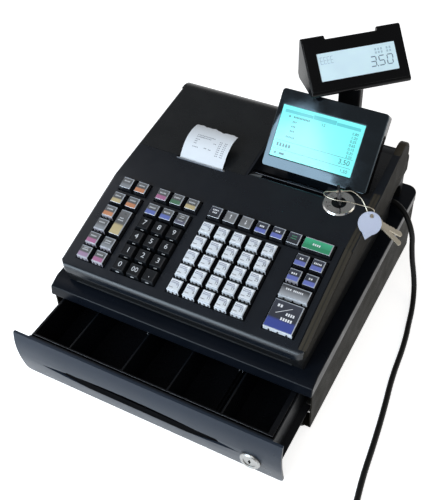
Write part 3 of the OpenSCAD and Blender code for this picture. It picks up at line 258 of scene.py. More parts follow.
# painted highlight: pale grey on the front-facing slopes of the tray's fins, standing for light caught on them inside
# the dark tray
RIB_HIGHLIGHT = finish("tray rib", (0.13, 0.14, 0.16), 0.3, specular=0.4)
LOCK_METAL = finish("lock metal", (0.4, 0.4, 0.39), 0.3, metal=1.0)
BASE = finish("base plastic", (0.008, 0.0085, 0.0095), 0.4, 0.2, specular=0.1)
COVER = finish("cover plastic", (0.004, 0.0055, 0.009), 0.3, 0.12, specular=0.15)
STEEL_BOX = finish("cabinet coat", (0.016, 0.0145, 0.011), 0.5, 0.3, 2600, specular=0.03)
DRAWER = finish("drawer plastic", (0.02, 0.027, 0.04), 0.32, 0.08, specular=0.16, spread=0.05)
PAN = finish("pan coat", (0.012, 0.013, 0.015), 0.45, 0.3, 2200, specular=0.15)
TRAY = finish("tray plastic", (0.004, 0.0045, 0.006), 0.26, 0.05, specular=0.22)
DIVIDER = finish("divider plastic", (0.004, 0.005, 0.007), 0.24, 0.05, specular=0.25)
GLOSS = finish("gloss black", (0.003, 0.003, 0.004), 0.06, specular=1.0)
GLOSS.node_tree.nodes["Principled BSDF"].inputs["Specular Tint"].default_value = (0.66, 0.86, 1, 1)
SATIN = finish("satin black", (0.002, 0.002, 0.0025), 0.14, specular=0.25)
INNER = finish("inner plastic", (0.006, 0.006, 0.007), 0.5, 0.2, specular=0.15)
RUBBER = finish("rubber", (0.014, 0.014, 0.014), 0.75, 0.4, 900)
ZINC = finish("zinc", (0.5, 0.5, 0.5), 0.35, 0.1, metal=1.0, stretch=(1, 0.05, 1))
CHROME = finish("bright metal", (0.72, 0.72, 0.71), 0.16, metal=1.0, spread=0.04)
NICKEL = finish("nickel", (0.52, 0.47, 0.38), 0.33, 0.1, metal=1.0)
DARK_METAL = finish("dark nickel", (0.1, 0.1, 0.105), 0.35, metal=1.0)
NYLON = finish("nylon", (0.62, 0.61, 0.56), 0.4)
BOARD = finish("solder mask", (0.012, 0.11, 0.04), 0.3, 0.1)
IRON = finish("laminations", (0.09, 0.088, 0.085), 0.55, 0.3, metal=0.7)
PAPER = finish("paper", (0.76, 0.79, 0.83), 0.75, 0.2, 900, spread=0.03)
PRINT = finish("receipt print", (0.22, 0.23, 0.27), 0.7, spread=0.2)
CORD = finish("cord vinyl", (0.008, 0.008, 0.008), 0.45, 0.1, specular=0.2)
TAG = finish("tag", (0.5, 0.54, 0.68), 0.28, spread=0.1, coat=0.3)
ENGRAVED = finish("engraved mark", (0.02, 0.02, 0.02), 0.6)
SILVER_LINE = finish("silver line", (0.3, 0.32, 0.37), 0.35, metal=0.6)

NODE_FINISH = {
    "cabinet_shell": STEEL_BOX, "cabinet_cover": COVER, "rubber_feet": RUBBER, "runner_rails": ZINC,
    "latch_bracket": ZINC, "latch_lever": ZINC, "drawer_front": DRAWER, "drawer_pan": PAN,
    "drawer_rollers": NYLON, "till_tray": TRAY, "till_dividers": DIVIDER, "lock_bezel": LOCK_METAL,
    "lock_plug": LOCK_METAL, "lower_case": BASE, "upper_case": CASE, "key_plate": INNER, "main_board": BOARD,
    "power_transformer": IRON, "printer_frame": INNER, "platen_roller": RUBBER, "paper_roll": PAPER,
    "tear_bar": CHROME, "printer_cover": LID, "receipt_paper": PAPER, "display_base": GLOSS,
    "display_case": CASE, "display_bezel": GLOSS, "display_lcd": GLOSS, "mast_collar": BASE, "mast": BASE,
    "customer_case": SATIN, "customer_face": SATIN, "customer_lcd": GLOSS, "mode_dial": CHROME,
    "mode_barrel": INNER, "mode_key": DARK_METAL, "key_loop": NICKEL, "key_tag": TAG, "spare_keys": NICKEL,
    "strain_relief": CORD, "cord_tube": CORD, "cord_coil": CORD, "mains_plug": CORD,
}
for name, node in frame["nodes"].items():
    node.data.materials.clear()
    node.data.materials.append(NODE_FINISH.get(name, INNER))

# ---- helpers for new pieces ----


def alone(obj=None):
    """Selects one object, or none."""
    bpy.ops.object.select_all(action="DESELECT")
    if obj:
        obj.select_set(True)
        bpy.context.view_layer.objects.active = obj


def pick(obj, wanted, mode="FACE"):
    """Opens a piece for modelling with only the wanted faces or edges selected."""
    alone(obj)
    bpy.ops.object.mode_set(mode="EDIT")
    bpy.ops.mesh.select_mode(type=mode)
    bpy.ops.mesh.select_all(action="DESELECT")
    mesh = bmesh.from_edit_mesh(obj.data)
    for item in mesh.faces if mode == "FACE" else mesh.edges:
        item.select_set(bool(wanted(item)))
    bmesh.update_edit_mesh(obj.data)


def done():
    """Ends the modelling that pick began."""
    bpy.ops.object.mode_set(mode="OBJECT")


def box(low, high):
    """A box between two corners, in the millimetres of the frame that it is later placed in."""
    alone()
    low, high = Vector(low), Vector(high)
    bpy.ops.mesh.primitive_cube_add(size=1, location=(low + high) / 2, scale=high - low)
    bpy.ops.object.transform_apply(location=True, rotation=True, scale=True)
    return bpy.context.object


def soften(obj, width, wanted=None, segments=2):
    """Rounds the wanted edges, or all of them."""
    pick(obj, wanted or (lambda e: True), "EDGE")
    bpy.ops.mesh.bevel(offset=width, segments=segments, affect="EDGES")
    done()
    return obj


def settle(obj, material, body, *nodes, smooth=30, slot=None):
    """Puts the piece's place into its mesh, gives it its finish, and lets it ride on its body."""
    alone(obj)
    bpy.ops.object.transform_apply(location=True, rotation=True, scale=True)
    bpy.ops.object.shade_smooth_by_angle(angle=radians(smooth))
    obj.data.materials.clear()
    obj.data.materials.append(material)
    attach(obj, body)
    if nodes:
        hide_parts(*nodes)
    return obj


def copied(form, matrix):
    """A copy of a form with its own mesh, laid in a local frame."""
    obj = linked(bpy.data.objects.new(form.name, form.data.copy()))
    obj.data.transform(matrix)
    return obj


def merged(parts):
    """Joins parts into the first of them."""
    alone()
    for p in parts:
        p.select_set(True)
    bpy.context.view_layer.objects.active = parts[0]
    if len(parts) > 1:
        bpy.ops.object.join()
    return bpy.context.object


def joined(name, parts, material, body, *nodes, smooth=30, slot=None):
    """One finished piece out of parts that are in their places."""
    obj = merged(parts)
    obj.name = obj.data.name = name
    return settle(obj, material, body, *nodes, smooth=smooth, slot=slot)


def laid(name, form, spots, matrix, material, body, slot=None):
    """Copies of one form at several spots of a local frame, as one piece; the form itself goes."""
    parts = [copied(form, matrix @ Matrix.Translation(spot)) for spot in spots]
    bpy.data.objects.remove(form)
    return joined(name, parts, material, body, slot=slot)


def marks(name, spans, matrix, material, body, z0, z1, slot=None):
    """Thin printed bars; each span is (x0, x1, y0, y1) in a local frame."""
    bar = box((0, 0, 0), (1, 1, 1))
    parts = [copied(bar, matrix @ Matrix.Translation((x0, y0, z0))
                    @ Matrix.Diagonal((x1 - x0, y1 - y0, z1 - z0, 1)))
             for x0, x1, y0, y1 in spans]
    bpy.data.objects.remove(bar)
    return joined(name, parts, material, body, slot=slot)


def figures(name, entries, matrix, material, body, slot=None):
    """Digits as thin meshes; each entry is (text, x, y, z, size, align)."""
    parts = []
    for text, x, y, z, size, align in entries:
        data = bpy.data.curves.new(name, "FONT")
        data.body, data.size = text, size
        data.align_x, data.align_y = align, "CENTER"
        data.extrude = 0.03
        data.resolution_u = 3
        alone(linked(bpy.data.objects.new(name, data)))
        bpy.ops.object.convert(target="MESH")
        obj = bpy.context.object
        obj.data.transform(matrix @ Matrix.Translation((x, y, z)))
        parts.append(obj)
    return joined(name, parts, material, body, slot=slot)


def subtract(obj, form):
    """Takes a form out of a piece; the form goes."""
    cut = obj.modifiers.new("cut", "BOOLEAN")
    cut.operation, cut.solver, cut.object = "DIFFERENCE", "EXACT", form
    alone(obj)
    bpy.ops.object.modifier_apply(modifier=cut.name)
    bpy.data.objects.remove(form)


def round_bar(x0, x1, y, z, radius):
    """A disc across the body, in mm from the cabinet's centre."""
    alone()
    bpy.ops.mesh.primitive_cylinder_add(vertices=64, radius=radius, depth=x1 - x0,
                                        location=((x0 + x1) / 2, y, z), rotation=(0, pi / 2, 0))
    bpy.ops.object.transform_apply(location=True, rotation=True, scale=True)
    return bpy.context.object


SHARP, SMOOTH = radians(35), 40


def dressed(node, width, material, less=()):
    """The CAD node's own form, less some forms, with its sharp edges rounded."""
    source = frame["nodes"][node]
    obj = linked(bpy.data.objects.new(node + "_moulding", source.data.copy()))
    body = source.parent.name[len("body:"):] if source.parent else "register"
    alone(obj)
    bpy.ops.object.mode_set(mode="EDIT")
    bpy.ops.mesh.select_all(action="SELECT")
    bpy.ops.mesh.remove_doubles(threshold=0.00001)
    bpy.ops.mesh.dissolve_limited(angle_limit=radians(0.4))
    bpy.ops.object.mode_set(mode="OBJECT")
    for form in less:
        subtract(obj, form)
    bevel = obj.modifiers.new("edges", "BEVEL")
    bevel.width, bevel.segments = width * MM, 2
    bevel.limit_method, bevel.angle_limit = "ANGLE", SHARP
    bpy.ops.object.modifier_apply(modifier=bevel.name)
    settle(obj, material, body, node, smooth=SMOOTH)
    even = obj.modifiers.new("even", "WEIGHTED_NORMAL")
    even.keep_sharp = True
    bpy.ops.object.modifier_apply(modifier=even.name)
    return obj


def second_finish(name, material, wanted):
    """Gives the wanted faces of a piece a finish of their own."""
    mesh = bpy.data.objects[name].data
    mesh.materials.append(material)
    for face in mesh.polygons:
        if wanted((face.center - DATUM) / MM, face.normal):
            face.material_index = len(mesh.materials) - 1


# ---- cord ----
CORD_R = 3.3
COVER_FRONT_Y, COVER_FRONT_Z, COVER_TILT = -151, 85.8, 1.72
EDGE_X, RELIEF_X, RELIEF_Y = 163, 135, 118
RELIEF_Z = COVER_FRONT_Z + (RELIEF_Y - COVER_FRONT_Y) * tan(radians(COVER_TILT)) + 8.8
COIL_TURN, COIL_MID = 2 * CORD_R, 36
COIL_AT = (EDGE_X + 75 + COIL_MID + 6.3 + COIL_TURN, -270)
# from the strain relief down over the cabinet's right edge, and along the table to the coil
ROUTE = [(RELIEF_X + x, RELIEF_Y + y, RELIEF_Z + z) for x, y, z in ((0, 0, 0), (7.3, -0.4, 0), (16.4, -3.1, -0.4))]
ROUTE += [(EDGE_X + x, y, RELIEF_Z + z) for x, y, z in ((-1.5, 108.6, -2.4), (6.4, 102.5, -7.6))]
ROUTE += [(EDGE_X + x, y, z) for x, y, z in (
    (12.7, 98.1, 86.4), (16.8, 96.1, 74.6), (18.8, 94.9, 60.3), (22.8, 91, 43.6), (27.9, 86.8, 27.7),
    (32.9, 79.5, 14.1), (37.6, 66, 5.2))]
ROUTE += [(EDGE_X + x, y, CORD_R) for x, y in (
    (41.9, 47.2), (45.2, 27.1), (48.8, 5.9), (51.5, -18.2), (53.3, -43.9), (55.8, -67.6), (59.2, -90.7),
    (63, -119.7), (66.5, -152.2), (69.6, -185.3), (73.3, -212), (77.2, -236), (80.2, -256))]
ROUTE.append((COIL_AT[0] - COIL_MID - COIL_TURN, COIL_AT[1], CORD_R))


def smooth_line(points, steps):
    """A smooth line through the points."""
    line = []
    for i in range(len(points) - 1):
        a, b, c, d = (Vector(points[max(0, min(len(points) - 1, i + k))]) for k in (-1, 0, 1, 2))
        for j in range(steps):
            t = j / steps
            line.append(b + (c - a) * t / 2 + (a - b * 2.5 + c * 2 - d * 0.5) * t * t
                        + ((b - c) * 1.5 + (d - a) * 0.5) * t ** 3)
    return line + [Vector(points[-1])]


def coil_line():
    """Six turns on the table: three spiralling inwards, then three outwards on top of them."""
    line, steps, turns = [], 24, 6
    for k in range(1, turns * steps + 1):
        turn = k / steps
        inward = min(turn, turns - turn) / (turns / 2)
        radius = COIL_MID + COIL_TURN - inward * 2 * COIL_TURN
        lift = max(0, min(1, (turn - 2.75) / 0.5))
        angle = pi + turn * 2 * pi
        line.append(Vector((COIL_AT[0] + radius * cos(angle), COIL_AT[1] + radius * sin(angle),
                            CORD_R + lift * lift * (3 - 2 * lift) * COIL_TURN)))
    return line


cord_line = smooth_line(ROUTE, 3) + coil_line()
curve = bpy.data.curves.new("mains_cord", "CURVE")
curve.dimensions = "3D"
curve.bevel_depth = CORD_R * MM
curve.bevel_resolution = 4
curve.use_fill_caps = True
spline = curve.splines.new("POLY")
spline.points.add(len(cord_line) - 1)
for point, place in zip(spline.points, cord_line):
    point.co = (*at(*place), 1)
cord = linked(bpy.data.objects.new("mains_cord", curve))
curve.materials.append(CORD)
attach(cord, "register")
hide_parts("cord_tube", "cord_coil")
plug = dressed("mains_plug", 0.6, CORD)

# ---- mouldings with rounded edges ----
MOULDINGS = {
    "cabinet_cover": (1.2, COVER), "cabinet_shell": (0.4, STEEL_BOX), "drawer_front": (1.1, DRAWER),
    "drawer_pan": (0.3, PAN), "till_tray": (0.35, TRAY), "till_dividers": (0.5, DIVIDER),
    "lower_case": (0.5, BASE), "upper_case": (0.6, CASE), "printer_cover": (0.6, LID),
    "display_base": (0.5, GLOSS), "display_case": (1.0, SATIN), "display_bezel": (0.9, GLOSS),
    "mast_collar": (0.8, BASE), "mast": (0.6, BASE), "customer_case": (1.2, SATIN),
    "customer_face": (0.4, SATIN), "mode_key": (0.3, DARK_METAL), "spare_keys": (0.3, NICKEL),
    "key_tag": (0.4, TAG), "lock_bezel": (0.5, LOCK_METAL),
}
# the rear rim falls away beside the mast, so that the ear stands free
EAR_X0, EAR_X1, EAR_Y, EAR_Z, EAR_R = 140, 149, 118.4, 164.2, 22.8
RIM_Z, STEP_X, RIM_Y = 151.5, 97, 138.9
rim = box((STEP_X, 128, RIM_Z), (EAR_X1 + 3, 168, 205))
subtract(rim, round_bar(EAR_X0 - 0.4, EAR_X1 + 5, EAR_Y, EAR_Z, EAR_R - 1))
subtract(rim, box((STEP_X - 2, 120, RIM_Z - 5), (EAR_X0 - 0.4, RIM_Y, 210)))
rim.data.transform(LEVEL)
LESS = {"upper_case": (rim,)}
for name, (width, material) in MOULDINGS.items():
    dressed(name, width, material, less=LESS.get(name, ()))
closing = [box((STEP_X - 1, RIM_Y, RIM_Z - 2.5), (EAR_X0 + 1, 155.8, RIM_Z - 0.1)),
           box((EAR_X0, RIM_Y, RIM_Z - 2.5), (EAR_X1 - 2, 151, RIM_Z - 0.1)),
           box((STEP_X - 1.5, 139.2, RIM_Z - 2), (STEP_X - 0.1, 152.5, 171))]
for part in closing:
    soften(part, 0.3)
    part.data.transform(LEVEL)
joined("rim_closing", closing, CASE, "register")

# the case's right flank in a painted warm sheen where light falls on its side, the drawer's finger recess with a
# painted lit crescent and the slot inside it in painted shade, and the fins of the tray with painted highlights on
# their front slopes
second_finish("upper_case_moulding", FLANK_SHEEN, lambda spot, facing: facing.x > 0.8 and spot.x > EAR_X0)
second_finish("drawer_front_moulding", SCOOP_LIT,
              lambda spot, facing: -237.4 < spot.y < -233 and abs(spot.x + 8) < 122 and spot.z > 38.5
              and facing.z < 0.1)
second_finish("till_tray_moulding", RIB_HIGHLIGHT,
              lambda spot, facing: facing.z > 0.05 and facing.y < -0.03 and abs(facing.x) < 0.3)
second_finish("drawer_front_moulding", RECESS_SHADE,
              lambda spot, facing: spot.y > -235 and facing.y < 0.5 and abs(spot.x + 4) < 110
              and 30 < spot.z < 44)
# the ear's disc, its faces sunk a little inside a rim, coloured with a painted warm sheen of the lit right side
ear = round_bar(EAR_X0, EAR_X1, EAR_Y, EAR_Z, EAR_R)
pick(ear, lambda f: abs(f.normal.x) > 0.9)
bpy.ops.mesh.inset(thickness=3.4, use_individual=True)
bpy.ops.mesh.inset(thickness=0.7, depth=-0.5, use_individual=True)
done()
soften(ear, 1.4, lambda e: (abs((e.verts[0].co.yz - Vector((EAR_Y, EAR_Z))).length - EAR_R) < 0.2
                            and abs(e.verts[0].co.x - e.verts[1].co.x) < 0.1), 3)
ear.data.transform(LEVEL)
joined("ear_disc", [ear], RAIL_SHEEN, "register", smooth=SMOOTH, slot="case_plastic")

# the tag hangs before the spare keys, which fan out behind it
FACING = Vector((0.36, -0.63, 0.69)).normalized()
HOOK = at(149, 9, 174)
TAG_AT, TAG_NORMAL = at(149.9, 7, 165.1), Vector((0.76, -0.15, 0.63)).normalized()
tag, spare = bpy.data.objects["key_tag_moulding"], bpy.data.objects["spare_keys_moulding"]
tag.data.transform(Matrix.Translation(TAG_AT + Vector((3.4, -8.2, 4.2)) * MM) @ Matrix.Scale(1.14, 4)
                   @ TAG_NORMAL.rotation_difference(FACING).to_matrix().to_4x4() @ Matrix.Translation(-TAG_AT))
spare.data.transform(Matrix.Translation(HOOK + Vector((2.5, -1, -8)) * MM)
                     @ Matrix.Rotation(radians(26), 4, FACING) @ Matrix.Scale(0.84, 4)
                     @ Matrix.Translation(-HOOK))

# ---- keys: x to the right and s up the deck, in mm, with the caps' feet at FOOT and their tops at RISE ----
PITCH_X, PITCH_Y = 19, 18.8
KEY, TAPER, RISE, FOOT = 17, 1.6, 5.5, -5.5
LEAN = TAPER / (RISE - FOOT)
ROW_0 = 22.3
LEFT_X, MID_X, DEPT_X, RIGHT_X, RIGHT_PITCH = -124.2, -78.3, -8.4, 104.6, 18.4
LEFT_2 = LEFT_X + PITCH_X + 0.6
WIDE_X = RIGHT_X + RIGHT_PITCH / 2
TOP_ROW = ROW_0 + 5 * PITCH_Y + 2.8
UNIT, TALL = (KEY, KEY), (KEY, KEY + PITCH_Y)
WIDE, TOTAL = (RIGHT_PITCH + KEY, KEY), (RIGHT_PITCH + KEY, PITCH_Y + KEY)


def row(r):
    """The middle of a row of keys, up the deck."""
    return ROW_0 + r * PITCH_Y


CAP_DARK = finish("smoked cap", (0.012, 0.013, 0.016), 0.2, coat=0.3, specular=0.4)
CAP_BLACK = finish("black cap", (0.007, 0.008, 0.01), 0.36, spread=0.05, specular=0.3)
# painted glints: the pale edges of the clear caps stand for the bright backdrop mirrored in them
CLEAR_RIM_GLINT = finish("clear cap edge", (0.36, 0.38, 0.42), 0.15, coat=0.8, spread=0.2)
WHITE_RIM_GLINT = finish("white cap edge", (0.5, 0.54, 0.6), 0.15, coat=0.8, spread=0.1)
FRONT_WHITE = finish("white label front", (0.72, 0.75, 0.8), 0.3, coat=0.4)
FRONT_TINT = finish("tinted label front", (0.42, 0.4, 0.45), 0.3, coat=0.4)
CLIP = finish("cap clip", (0.004, 0.004, 0.005), 0.4)
INK = finish("ink", (0.035, 0.035, 0.045), 0.5)
FAINT_INK = finish("faint ink", (0.2, 0.21, 0.3), 0.5)
WHITE_INK = finish("white ink", (0.78, 0.78, 0.8), 0.5, spread=0.03)
GREY_INK = finish("grey ink", (0.55, 0.56, 0.58), 0.5, spread=0.03)
DIGIT_INK = finish("digit ink", (0.6, 0.61, 0.63), 0.5, spread=0.03)

WARM, NIGHT = (0.1, 0.1, 0.102), (0.035, 0.038, 0.052)
LABELS = {
    "cream": (WARM, (0.55, 0.44, 0.24)), "orange": (WARM, (0.58, 0.24, 0.12)),
    "pink": (WARM, (0.42, 0.16, 0.29)), "lilac": (WARM, (0.36, 0.24, 0.36)),
    "grey": (WARM, (0.26, 0.27, 0.29)), "green": (WARM, (0.08, 0.19, 0.11)),
    "sky": (WARM, (0.13, 0.17, 0.46)), "slate": (WARM, (0.12, 0.12, 0.17)),
    "dark": (NIGHT, (0.03, 0.032, 0.04)), "blue": (NIGHT, (0.15, 0.18, 0.5)),
    "steel": ((0.16, 0.16, 0.165), (0.22, 0.22, 0.225)), "sheet_green": ((0.05, 0.36, 0.19), (0.04, 0.3, 0.15)),
    "white": ((0.74, 0.78, 0.83), (0.8, 0.83, 0.87)), "silver": ((0.05, 0.05, 0.055), (0.42, 0.43, 0.46)),
    "total": (NIGHT, (0.05, 0.075, 0.32)),
}
# how far up a label its lower colour reaches, and over what height the two blend
SPLIT = {"total": 0.34, "silver": 0.45}
SMEAR = {"grey": 0.2, "silver": 0.4, "white": 0.3, "steel": 0.3}
LABEL_SLOT = {"cream": "key_cream", "orange": "key_cream", "pink": "key_lilac", "lilac": "key_lilac",
              "grey": "key_grey", "green": "key_slate", "sky": "key_slate", "slate": "key_slate",
              "dark": "key_dark", "blue": "key_blue", "steel": "key_grey", "sheet_green": "key_green",
              "white": "key_white", "silver": "key_grey", "total": "key_blue"}
LABEL_FINISH = {}
for name, (upper, lower) in LABELS.items():
    split, smear = SPLIT.get(name, 0.42), SMEAR.get(name, 0.05)
    LABEL_FINISH[name] = printed("label " + name, [(0.0, lower), (split - smear, shade_of(lower, 0.96)),
                                                   (split + smear, upper), (1.0, shade_of(upper, 1.35))])


def cap_form(w, d):
    """One key cap: a skirt that draws in towards the top, with its upper edges rounded."""
    obj = box((-w / 2, -d / 2, FOOT), (w / 2, d / 2, RISE - 0.3))
    pick(obj, lambda f: f.normal.z > 0.9)
    bpy.ops.transform.resize(value=((w - 2 * TAPER) / w, (d - 2 * TAPER) / d, 1),
                             center_override=(0, 0, RISE - 0.3))
    done()
    obj.name = "cap"
    return soften(obj, 0.6, lambda e: all(v.co.z > 0 for v in e.verts))


def rim_glint_form(w, d):
    """The clear cap's bright edge, a thin pane with its rim turned over; its pale colour is a painted glint along the
    cap's edges.
    """
    x, y = w / 2 - TAPER - 0.1, d / 2 - TAPER - 0.1
    obj = box((-x, -y, RISE - 0.8), (x, y, RISE - 0.08))
    obj.name = "rim"
    return soften(obj, 0.35, lambda e: all(v.co.z > RISE - 0.3 for v in e.verts), 1)


def label_form(w, d):
    """A printed label, set a little to the front left, with a map that runs from its front to its back."""
    x, y = w / 2 - TAPER - 0.8, d / 2 - TAPER - 0.8
    obj = box((-x - 0.4, -y - 0.4, RISE - 0.3), (x - 0.4, y - 0.4, RISE))
    soften(obj, 0.1, lambda e: all(v.co.z > RISE - 0.1 for v in e.verts), 1)
    layer = obj.data.uv_layers.active or obj.data.uv_layers.new(name="UVMap")
    for corner, uv in zip(obj.data.loops, layer.data):
        co = obj.data.vertices[corner.vertex_index].co
        uv.uv = ((co.x + x + 0.4) / (2 * x), (co.y + y + 0.4) / (2 * y))
    obj.name = "label"
    return obj


def front_form(w, d):
    """The label's fold down the front of the cap, leaning with it."""
    obj = box((-w / 2 + TAPER - 0.2, -d / 2 - 0.15, -1.2), (w / 2 - TAPER - 0.2, -d / 2 + 0.6, RISE - 0.7))
    for v in obj.data.vertices:
        v.co.y += (v.co.z - FOOT) * LEAN
    obj.name = "front"
    return soften(obj, 0.1, None, 1)


def clip_form(w, d):
    """Three dark clip notches at the foot of the front."""
    teeth = []
    for x in (-0.28 * w, 0, 0.28 * w):
        tooth = box((x - 1.2, -d / 2 - 0.3, -0.6), (x + 1.2, -d / 2 + 0.6, 2.2))
        pick(tooth, lambda f: f.normal.z > 0.9)
        bpy.ops.transform.resize(value=(0.6, 1, 1), center_override=(x, -d / 2, 2.2))
        done()
        for v in tooth.data.vertices:
            v.co.y += (v.co.z - FOOT) * LEAN
        teeth.append(tooth)
    clips = merged(teeth)
    clips.name = "clips"
    return clips


def key_group(node, size, keys, front=None, rim=CLEAR_RIM_GLINT):
    """The keys of one CAD node, each (x, s, label); front is a finish and the keys whose label folds down; rim is the
    finish of the painted glint along the caps' edges.
    """
    body = node + "_body"
    spots = [(x, s, 0) for x, s, _ in keys]
    form = cap_form(*size)
    parts = [copied(form, DECK @ Matrix.Translation(p)) for p in spots]
    bpy.data.objects.remove(form)
    joined(node + "_caps", parts, CAP_DARK, body, node, slot="key_dark")
    laid(node + "_rims", rim_glint_form(*size), spots, DECK, rim, body, slot="key_grey")
    for kind in sorted({k[2] for k in keys}):
        laid(f"{node}_{kind}_labels", label_form(*size), [p for p, k in zip(spots, keys) if k[2] == kind],
             DECK, LABEL_FINISH[kind], body, slot=LABEL_SLOT[kind])
    if front:
        sheet, chosen = front
        chosen = [spots[i] for i in chosen]
        laid(node + "_fronts", front_form(*size), chosen, DECK, sheet, body, slot="key_white")
        laid(node + "_clips", clip_form(*size), chosen, DECK, CLIP, body, slot="key_black")


TOP_INK = (RISE - 0.02, RISE + 0.04)
BLOCK_FILL = 0.66


def words(node, spans, material=WHITE_INK, tag="words"):
    """Rows of small blocks in the places of words on the keys; each is (x, s, half length, half height)."""
    blocks = []
    for x, s, a, b in spans:
        count = max(1, round(2 * a / (1.5 * b + 0.45)))
        for k in range(count):
            left = x - a + k * 2 * a / count
            blocks.append((left, left + 2 * a / count * BLOCK_FILL, s - b, s + b))
    marks(f"{node}_{tag}", blocks, DECK, material, node + "_body", *TOP_INK, slot="key_white")


# black digit keys
for node, r, digits in (("keys_789", 3, "789"), ("keys_456", 2, "456"), ("keys_123", 1, "123"),
                        ("keys_zero", 0, ("0", "00", "."))):
    spots = [(MID_X + i * PITCH_X, row(r), 0) for i in range(3)]
    form = cap_form(*UNIT)
    pick(form, lambda f: f.normal.z > 0.99)
    bpy.ops.mesh.inset(thickness=0.9, depth=-0.25)
    done()
    parts = [copied(form, DECK @ Matrix.Translation(p)) for p in spots]
    bpy.data.objects.remove(form)
    joined(node + "_caps", parts, CAP_BLACK, node + "_body", node, smooth=12, slot="key_black")
    figures(node + "_digits", [(t, p[0], p[1] + 0.3, RISE - 0.54, 8.8 if t != "00" else 8.0, "CENTER")
                               for p, t in zip(spots, digits)], DECK, DIGIT_INK, node + "_body", slot="key_white")
    nick = box((-2, -KEY / 2 + 0.35, 1.0), (2, -KEY / 2 + 1.1, 1.5))
    laid(node + "_nicks", soften(nick, 0.1, None, 1), spots, DECK, GREY_INK, node + "_body", slot="key_white")

# department keys
for r in range(5):
    node = f"keys_dept_{r + 1}"
    xs = [DEPT_X + i * PITCH_X for i in range(5)]
    key_group(node, UNIT, [(x, row(r), "white") for x in xs], (FRONT_WHITE, range(5)), WHITE_RIM_GLINT)
    figures(node + "_numbers", [(str(r + 1 + 5 * i), x + 4.9, row(r) - 1.4, RISE + 0.01, 4.4, "RIGHT")
                                for i, x in enumerate(xs)],
            DECK, INK, node + "_body", slot="key_black")
    words(node, [(x + dx, row(r) + ds, a, b) for x in xs
                 for dx, ds, a, b in ((-1.0, 4.0, 4.4, 0.65), (-0.6, 2.1, 4.8, 0.6), (2.8, 0.6, 1.7, 0.45))],
          FAINT_INK, "rows")
    words(node, [(x - 3.2, row(r) - 3.6, 2.4, 0.4) for x in xs], INK, "names")

# left block
LEFT_KEYS = [(LEFT_X, row(0), "lilac"), (LEFT_2, row(0), "pink"), (LEFT_X, row(1), "pink"),
             (LEFT_2, row(1), "grey"), (LEFT_X, row(2), "grey"), (LEFT_X, row(3), "orange"),
             (LEFT_X, row(4), "cream"), (LEFT_2, row(4), "orange"), (LEFT_X, TOP_ROW, "grey"),
             (LEFT_2, TOP_ROW, "orange")]
key_group("keys_left", UNIT, LEFT_KEYS, (FRONT_TINT, range(6)))
words("keys_left", [(x - 0.4, s + 2.0, 3.8, 0.8) for x, s, _ in LEFT_KEYS]
      + [(LEFT_X - 0.4, row(0) + 4.4, 2.8, 0.55), (LEFT_2 - 0.4, row(1) - 0.6, 3.6, 0.55)], GREY_INK)
key_group("key_tall", TALL, [(LEFT_2, row(2.5), "cream")])
words("key_tall", [(LEFT_2 - 1, row(2.5) + 5.4, 2.6, 0.7), (LEFT_2 - 1, row(2.5) + 2.4, 3.6, 0.7)], GREY_INK)

# the keys above the digits, and the top row
MIDDLE_KEYS = [(MID_X + i * PITCH_X, row(4), kind) for i, kind in enumerate(("sky", "sky", "slate"))]
MIDDLE_KEYS += [(MID_X + 2 + i * PITCH_X, TOP_ROW, kind) for i, kind in enumerate(("pink", "green", "cream"))]
key_group("keys_middle", UNIT, MIDDLE_KEYS)
words("keys_middle", [(x - 0.3, s + 1.8, 4, 0.85) for x, s, kind in MIDDLE_KEYS if kind != "slate"]
      + [(MID_X + 2 * PITCH_X - 0.3, row(4) + d, a, 0.45) for d, a in ((3.6, 2.6), (1.4, 3), (-2.4, 3.2))], GREY_INK)
TOP_KEYS = [(DEPT_X + i * PITCH_X, TOP_ROW, kind)
            for i, kind in enumerate(("dark", "steel", "steel", "blue", "blue", "dark"))]
key_group("keys_top", UNIT, TOP_KEYS)
X0, X5 = TOP_KEYS[0][0], TOP_KEYS[5][0]
words("keys_top", [(X0 - 0.3, TOP_ROW + 2.4, 3.6, 0.8), (X0 - 0.3, TOP_ROW - 0.8, 2.8, 0.8)]
      + [(TOP_KEYS[i][0] - 0.3, TOP_ROW + 1.4, 2.8, 1.0) for i in (3, 4)])
GREEN_INK = finish("green ink", (0.08, 0.3, 0.16), 0.5, spread=0.05)
words("keys_top", [(X5 - 0.3, TOP_ROW + 2.2, 3, 0.55), (X5 - 0.3, TOP_ROW - 0.8, 3.4, 0.55)], GREEN_INK,
      "green_words")
arrows = []
for x, up in ((TOP_KEYS[1][0], 1), (TOP_KEYS[2][0], -1)):
    shaft = box((x - 0.55, TOP_ROW - 2.2, TOP_INK[0]), (x + 0.15, TOP_ROW + 2.2, TOP_INK[1]))
    alone()
    bpy.ops.mesh.primitive_cylinder_add(vertices=3, radius=1.5, depth=0.06, rotation=(0, 0, 0 if up > 0 else pi),
                                        location=(x - 0.2, TOP_ROW + 2.0 * up, RISE + 0.01))
    head = bpy.context.object
    bpy.ops.object.transform_apply(location=True, rotation=True, scale=True)
    for part in (shaft, head):
        part.data.transform(DECK)
        arrows.append(part)
joined("keys_top_arrows", arrows, WHITE_INK, "keys_top_body", slot="key_white")
key_group("key_wide", WIDE, [(WIDE_X, TOP_ROW, "sheet_green")])
words("key_wide", [(WIDE_X - 1, TOP_ROW, 4.6, 1.2)])

